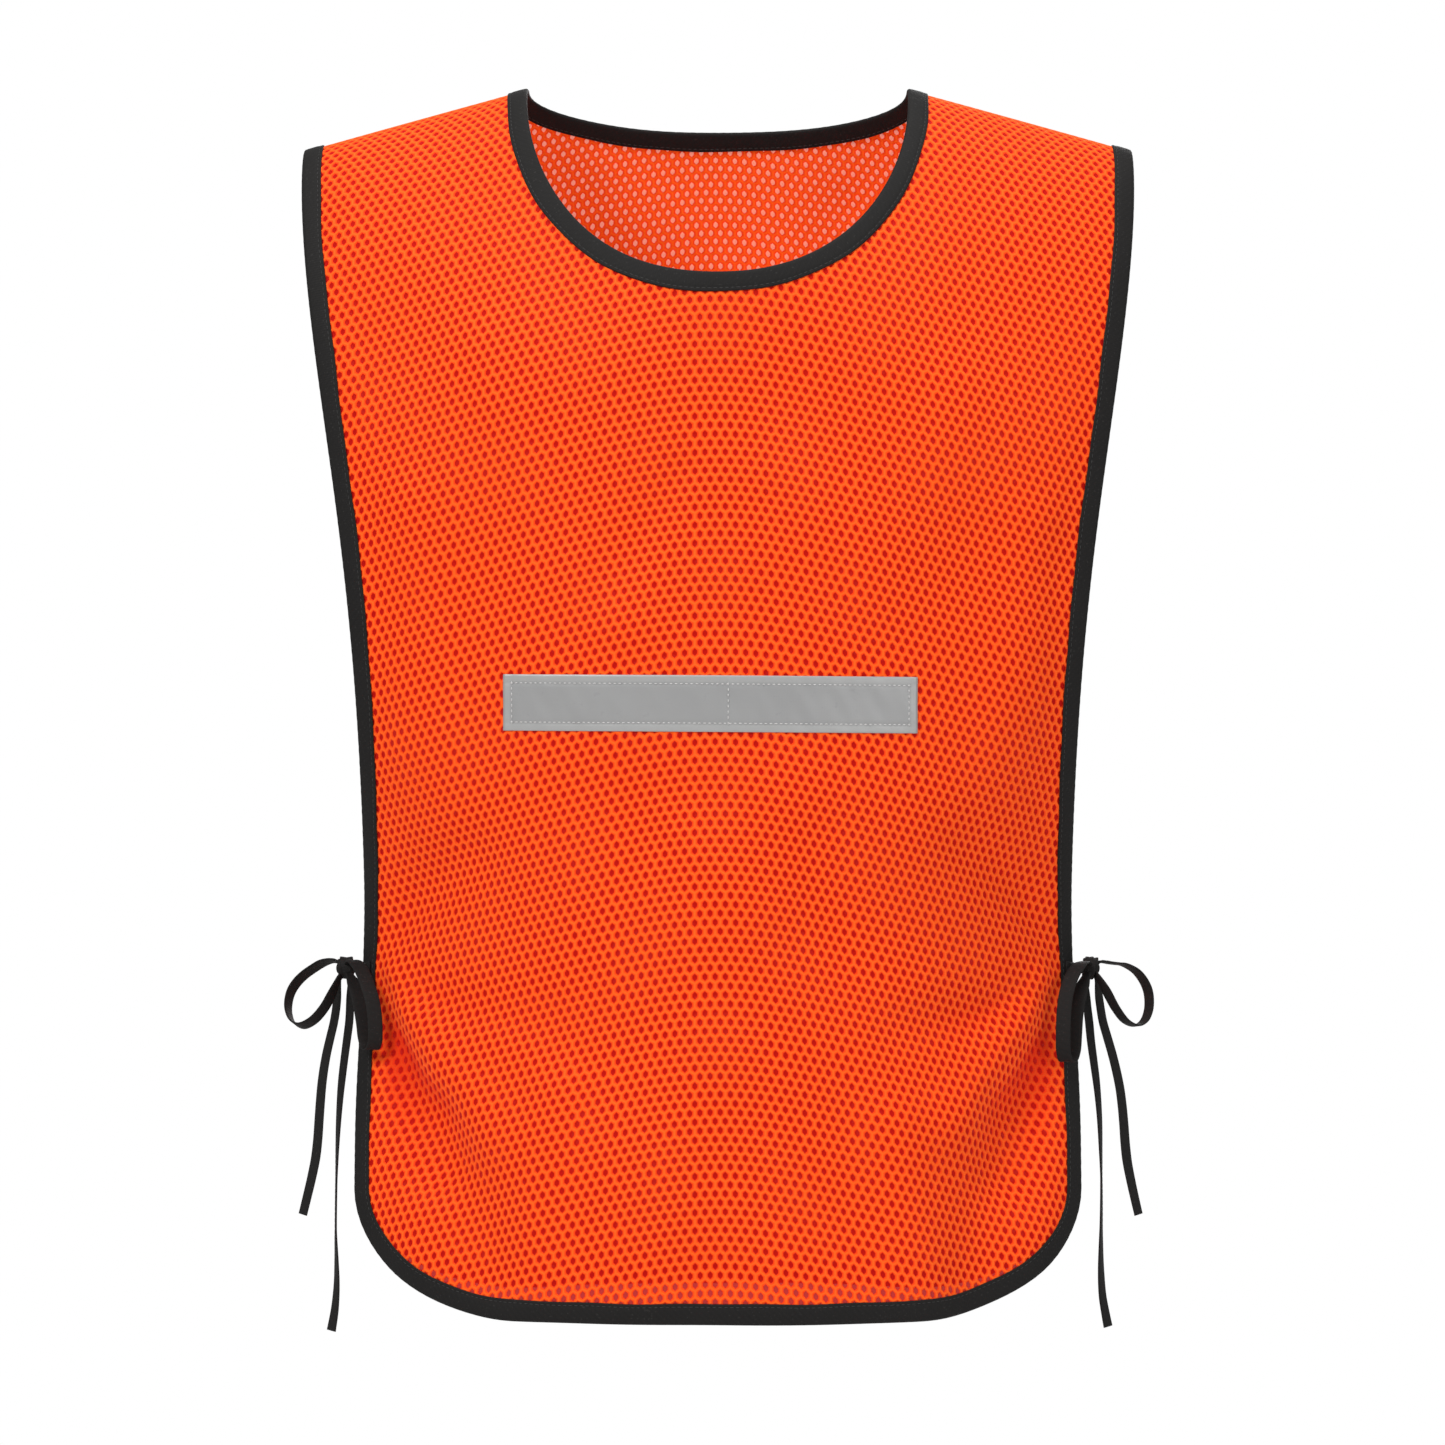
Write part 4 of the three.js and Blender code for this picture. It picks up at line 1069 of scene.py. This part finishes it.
def bowPiece(hand, part, look):
    line, at = routeCurve([nearKnot(hand, offset) for offset in look["route"]], tapePiece["step"])
    tucked = [tuple(tapePiece["tuck"] * v for v in look["route"][0])] + look["route"]
    if "across" in look:
        tucked = tucked + [tuple(tapePiece["tuck"] * v for v in look["route"][-1])]
    whole, wholeAt = routeCurve([nearKnot(hand, offset) for offset in tucked], tapePiece["step"])
    side = hands[hand]
    if "across" in look:
        out, fore, up = look["across"]
        fixed = np.array([side * out, -fore, up])
        tape = tapeObject(f"{hand}_{part}_tape", whole, wholeAt,
                          lambda share: np.repeat(fixed[None], len(share), axis=0), (0, 1))
    else:
        def turned(share):
            turns = np.radians(look["turns"])
            angle = np.interp(share * (len(turns) - 1), np.arange(len(turns)), turns)
            return np.stack([side * np.cos(angle), -np.sin(angle), 0 * angle], axis=-1)
        tape = tapeObject(f"{hand}_{part}_tape", whole, wholeAt, turned, (0,))
    declare(tape, f"{hand}_{part}", body=f"{hand}_{part}")
    print(tape.name, "length", round(float(at[-1]), 4))
    "object" if "loop" in part else "bare"


for hand, bow in (("left", leftBow), ("right", rightBow)):
    for part, look in bow.items():
        bowPiece(hand, part, look)
print("bows tied")


# Knots: a core of gathered tape with a wrap wound over it

knotLook = dict(
    core=4.9 * mm, wrap=5.25 * mm, wrapWidth=6 * mm, turns=2.3, swell=0.35 * mm, start=-1.5 * mm,
    end=1.4 * mm, sway=0.5 * mm)


def makeKnot(hand):
    look = knotLook
    low, high = (np.array(corner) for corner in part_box(f"{hand}_knot"))
    centre = (low + high) / 2
    side = hands[hand]
    angle = np.linspace(0.4, 0.4 + look["turns"] * 2 * math.pi, int(look["turns"] * 60))
    share = (angle - angle[0]) / (angle[-1] - angle[0])
    radius = look["wrap"] + look["swell"] * np.sin(share * 5)
    line = np.stack([
        side * (mixed(look["start"], look["end"], share) + look["sway"] * np.sin(angle)),
        -radius * 0.93 * np.cos(angle), radius * np.sin(angle)], axis=-1) + centre
    at = np.concatenate([[0], np.cumsum(np.linalg.norm(np.diff(line, axis=0), axis=1))])
    wrap = tapeObject(
        f"{hand}_wrap", line, at,
        lambda s: np.stack([np.ones_like(s), 0.25 * np.sin(s * 9), 0.2 * np.cos(s * 7)], -1), (),
        width=look["wrapWidth"])
    rings, around = 22, 30
    polar = np.linspace(0.05, math.pi - 0.05, rings)[:, None]
    turn = np.arange(around)[None, :] * (2 * math.pi / around)
    crease = 1 + 0.07 * np.sin(turn * 7 + polar * 3) + 0.04 * np.sin(turn * 13 - polar * 5)
    core = np.stack([
        side * look["core"] * 1.12 * np.cos(polar) * np.ones_like(turn),
        look["core"] * np.sin(polar) * np.cos(turn) * crease,
        look["core"] * np.sin(polar) * np.sin(turn) * crease], axis=-1) + centre
    knot = joined(f"{hand}_knot_wraps", [wrap, sweptObject(f"{hand}_core", core, blackTape)])
    declare(knot, f"{hand}_knot")
    return centre


# Ties: the sewn ends on the bindings and the bars of stitching across them

tieLook = dict(
    lift=2.1 * mm, sewnEnd=7 * mm, knotGap=1.5 * mm, knotAside=5 * mm, barHigh=6 * mm, barLift=2.85 * mm,
    thread=0.28 * mm, barStitches=9, barWide=1.7 * mm)


def threadTube(name, points, radius, material):
    points = np.array(points)
    heading = np.gradient(points, axis=0)
    heading /= np.linalg.norm(heading, axis=1, keepdims=True)
    helper = np.array([0.31, 0.83, 0.46])
    side = np.cross(heading, helper)
    side /= np.linalg.norm(side, axis=1, keepdims=True)
    other = np.cross(heading, side)
    angle = np.arange(6) * math.pi / 3
    sections = points[:, None] + radius * (
        side[:, None] * np.cos(angle)[None, :, None] + other[:, None] * np.sin(angle)[None, :, None])
    return sweptObject(name, sections, material)


def edgePlaceAt(z):
    x = float(sideHalf(np.array(z)))
    return np.array([x, float(fallAt(x, z))])


def tieAndBar(hand, panelName, panelSide, knotCentre):
    look = tieLook
    side = hands[hand]
    base = edgePlaceAt(-drape["tieLevel"])
    place = np.array([side * base[0], panelSide * base[1]])
    step = sideways(place[:1], place[1:], np.array([[0.0, 1.0]]))[0]
    if step[0] * side > 0:
        step = -step

    def lifted(inset, height, drop=0.0):
        spot = place + step * inset
        return clothAt(spot[0], spot[1] + panelSide * drop, np.array(height)).reshape(3)

    knotSide = knotCentre + [-side * look["knotAside"], -panelSide * look["knotGap"], 0]
    over = lifted(0, look["lift"])
    route = [lifted(look["sewnEnd"], look["lift"]), lifted(look["sewnEnd"] / 2, look["lift"]),
             over, mixed(over, knotSide, 0.55), knotSide]
    line, at = routeCurve(route, tapePiece["step"])
    tie = tapeObject(f"{hand}_{panelName}_tie_tape", line, at,
                     lambda s: np.repeat([[0.0, 0.0, 1.0]], len(s), axis=0), (1,))
    declare(tie, f"{hand}_{panelName}_tie_end")
    legs = []
    for k in range(look["barStitches"] * 2 + 1):
        drop = mixed(-look["barHigh"] / 2, look["barHigh"] / 2, k / (look["barStitches"] * 2))
        inset = look["sewnEnd"] / 2 + (look["barWide"] / 2 if k % 2 else -look["barWide"] / 2)
        legs.append(lifted(inset, look["barLift"], drop))
    bar = threadTube(f"{hand}_{panelName}_bar_thread", legs, look["thread"], blackThread)
    declare(bar, f"{hand}_{panelName}_bartack")


# Shoulder seams: the overlocked allowance under the ridge

seamLook = dict(
    half=4 * mm, top=-0.7 * mm, thick=0.6 * mm, loop=2.4 * mm, thread=0.22 * mm, endGap=10.5 * mm)


def shoulderSeam(hand):
    look = seamLook
    side = hands[hand]
    near, far = cut["neckHalf"] + look["endGap"], cut["shoulderHalf"] - look["endGap"]
    x = side * np.linspace(near, far, 60)
    profile = [(-1, 0), (-0.6, 0.12), (0, 0), (0.6, 0.12), (1, 0), (1.04, -0.5), (1, -1), (0.5, -1.1),
               (0, -1), (-0.5, -1.1), (-1, -1), (-1.04, -0.5)]

    def across(xs, reach, height):
        step = sideways(xs, 0 * xs, np.stack([np.ones_like(xs), 0 * xs], axis=-1))
        return clothAt(xs + reach * step[:, 0], reach * step[:, 1], height + 0 * xs)

    sections = [across(x, s * look["half"], look["top"] + h * look["thick"]) for s, h in profile]
    band = sweptObject(f"{hand}_seam_allowance", np.stack(sections, axis=1), orangeThread)
    loops = []
    turns = np.arange(int((far - near) / look["loop"]) * 2)
    spots = side * (near + look["loop"] / 8 + turns * look["loop"] / 2)
    for edge in (-1, 1):
        reach = edge * look["half"] * np.where(turns % 2, 1.12, 0.55)
        legs = across(spots, reach, look["top"] - look["thick"] * 1.25)
        loops.append(threadTube(f"{hand}_overlock{edge}", list(legs), look["thread"], orangeThread))
    seam = joined(f"{hand}_overlocked_seam", [band] + loops)
    declare(seam, f"{hand}_shoulder_seam")


for hand in hands:
    knotCentre = makeKnot(hand)
    for panelName, panelSide in (("front", 1), ("back", -1)):
        tieAndBar(hand, panelName, panelSide, knotCentre)
    shoulderSeam(hand)
print("knots, ties and shoulder seams made")


# Floor and world

stageLook = dict(floorDrop=430 * mm, floorRadius=2.6, white=(1, 1, 1, 1), ambient=0.38)


def floorRecipe(nodes):
    place = objectPlace(nodes)
    tone = nodes.noise(place, 1.5, 2)
    return {"Base Color": nodes.mix(tone, (0.8, 0.8, 0.8, 1), (0.84, 0.84, 0.83, 1))}


def addStage():
    low = cadBox[0][2] - stageLook["floorDrop"]
    radius = stageLook["floorRadius"]
    turns = np.arange(64) * (2 * math.pi / 64)
    points = [(radius * math.cos(t), radius * math.sin(t), low) for t in turns]
    mesh = bpy.data.meshes.new("floor")
    mesh.from_pydata(points, [], [tuple(range(64))])
    floor = newObject("floor", mesh, newMaterial("paleFloor", {"Roughness": 0.9}, floorRecipe))
    world = bpy.data.worlds.new("studio")
    bpy.context.scene.world = world
    world.use_nodes = True
    world.node_tree.nodes.clear()
    nodes = Nodes(world.node_tree)
    isSeen = nodes.add("ShaderNodeLightPath", {}, {}, "Is Camera Ray")
    strength = isSeen * (1 - stageLook["ambient"]) + stageLook["ambient"]
    back = nodes.add("ShaderNodeBackground", {}, {"Color": stageLook["white"], "Strength": strength})
    nodes.add("ShaderNodeOutputWorld", {}, {"Surface": back})


addStage()
print("floor and world set")
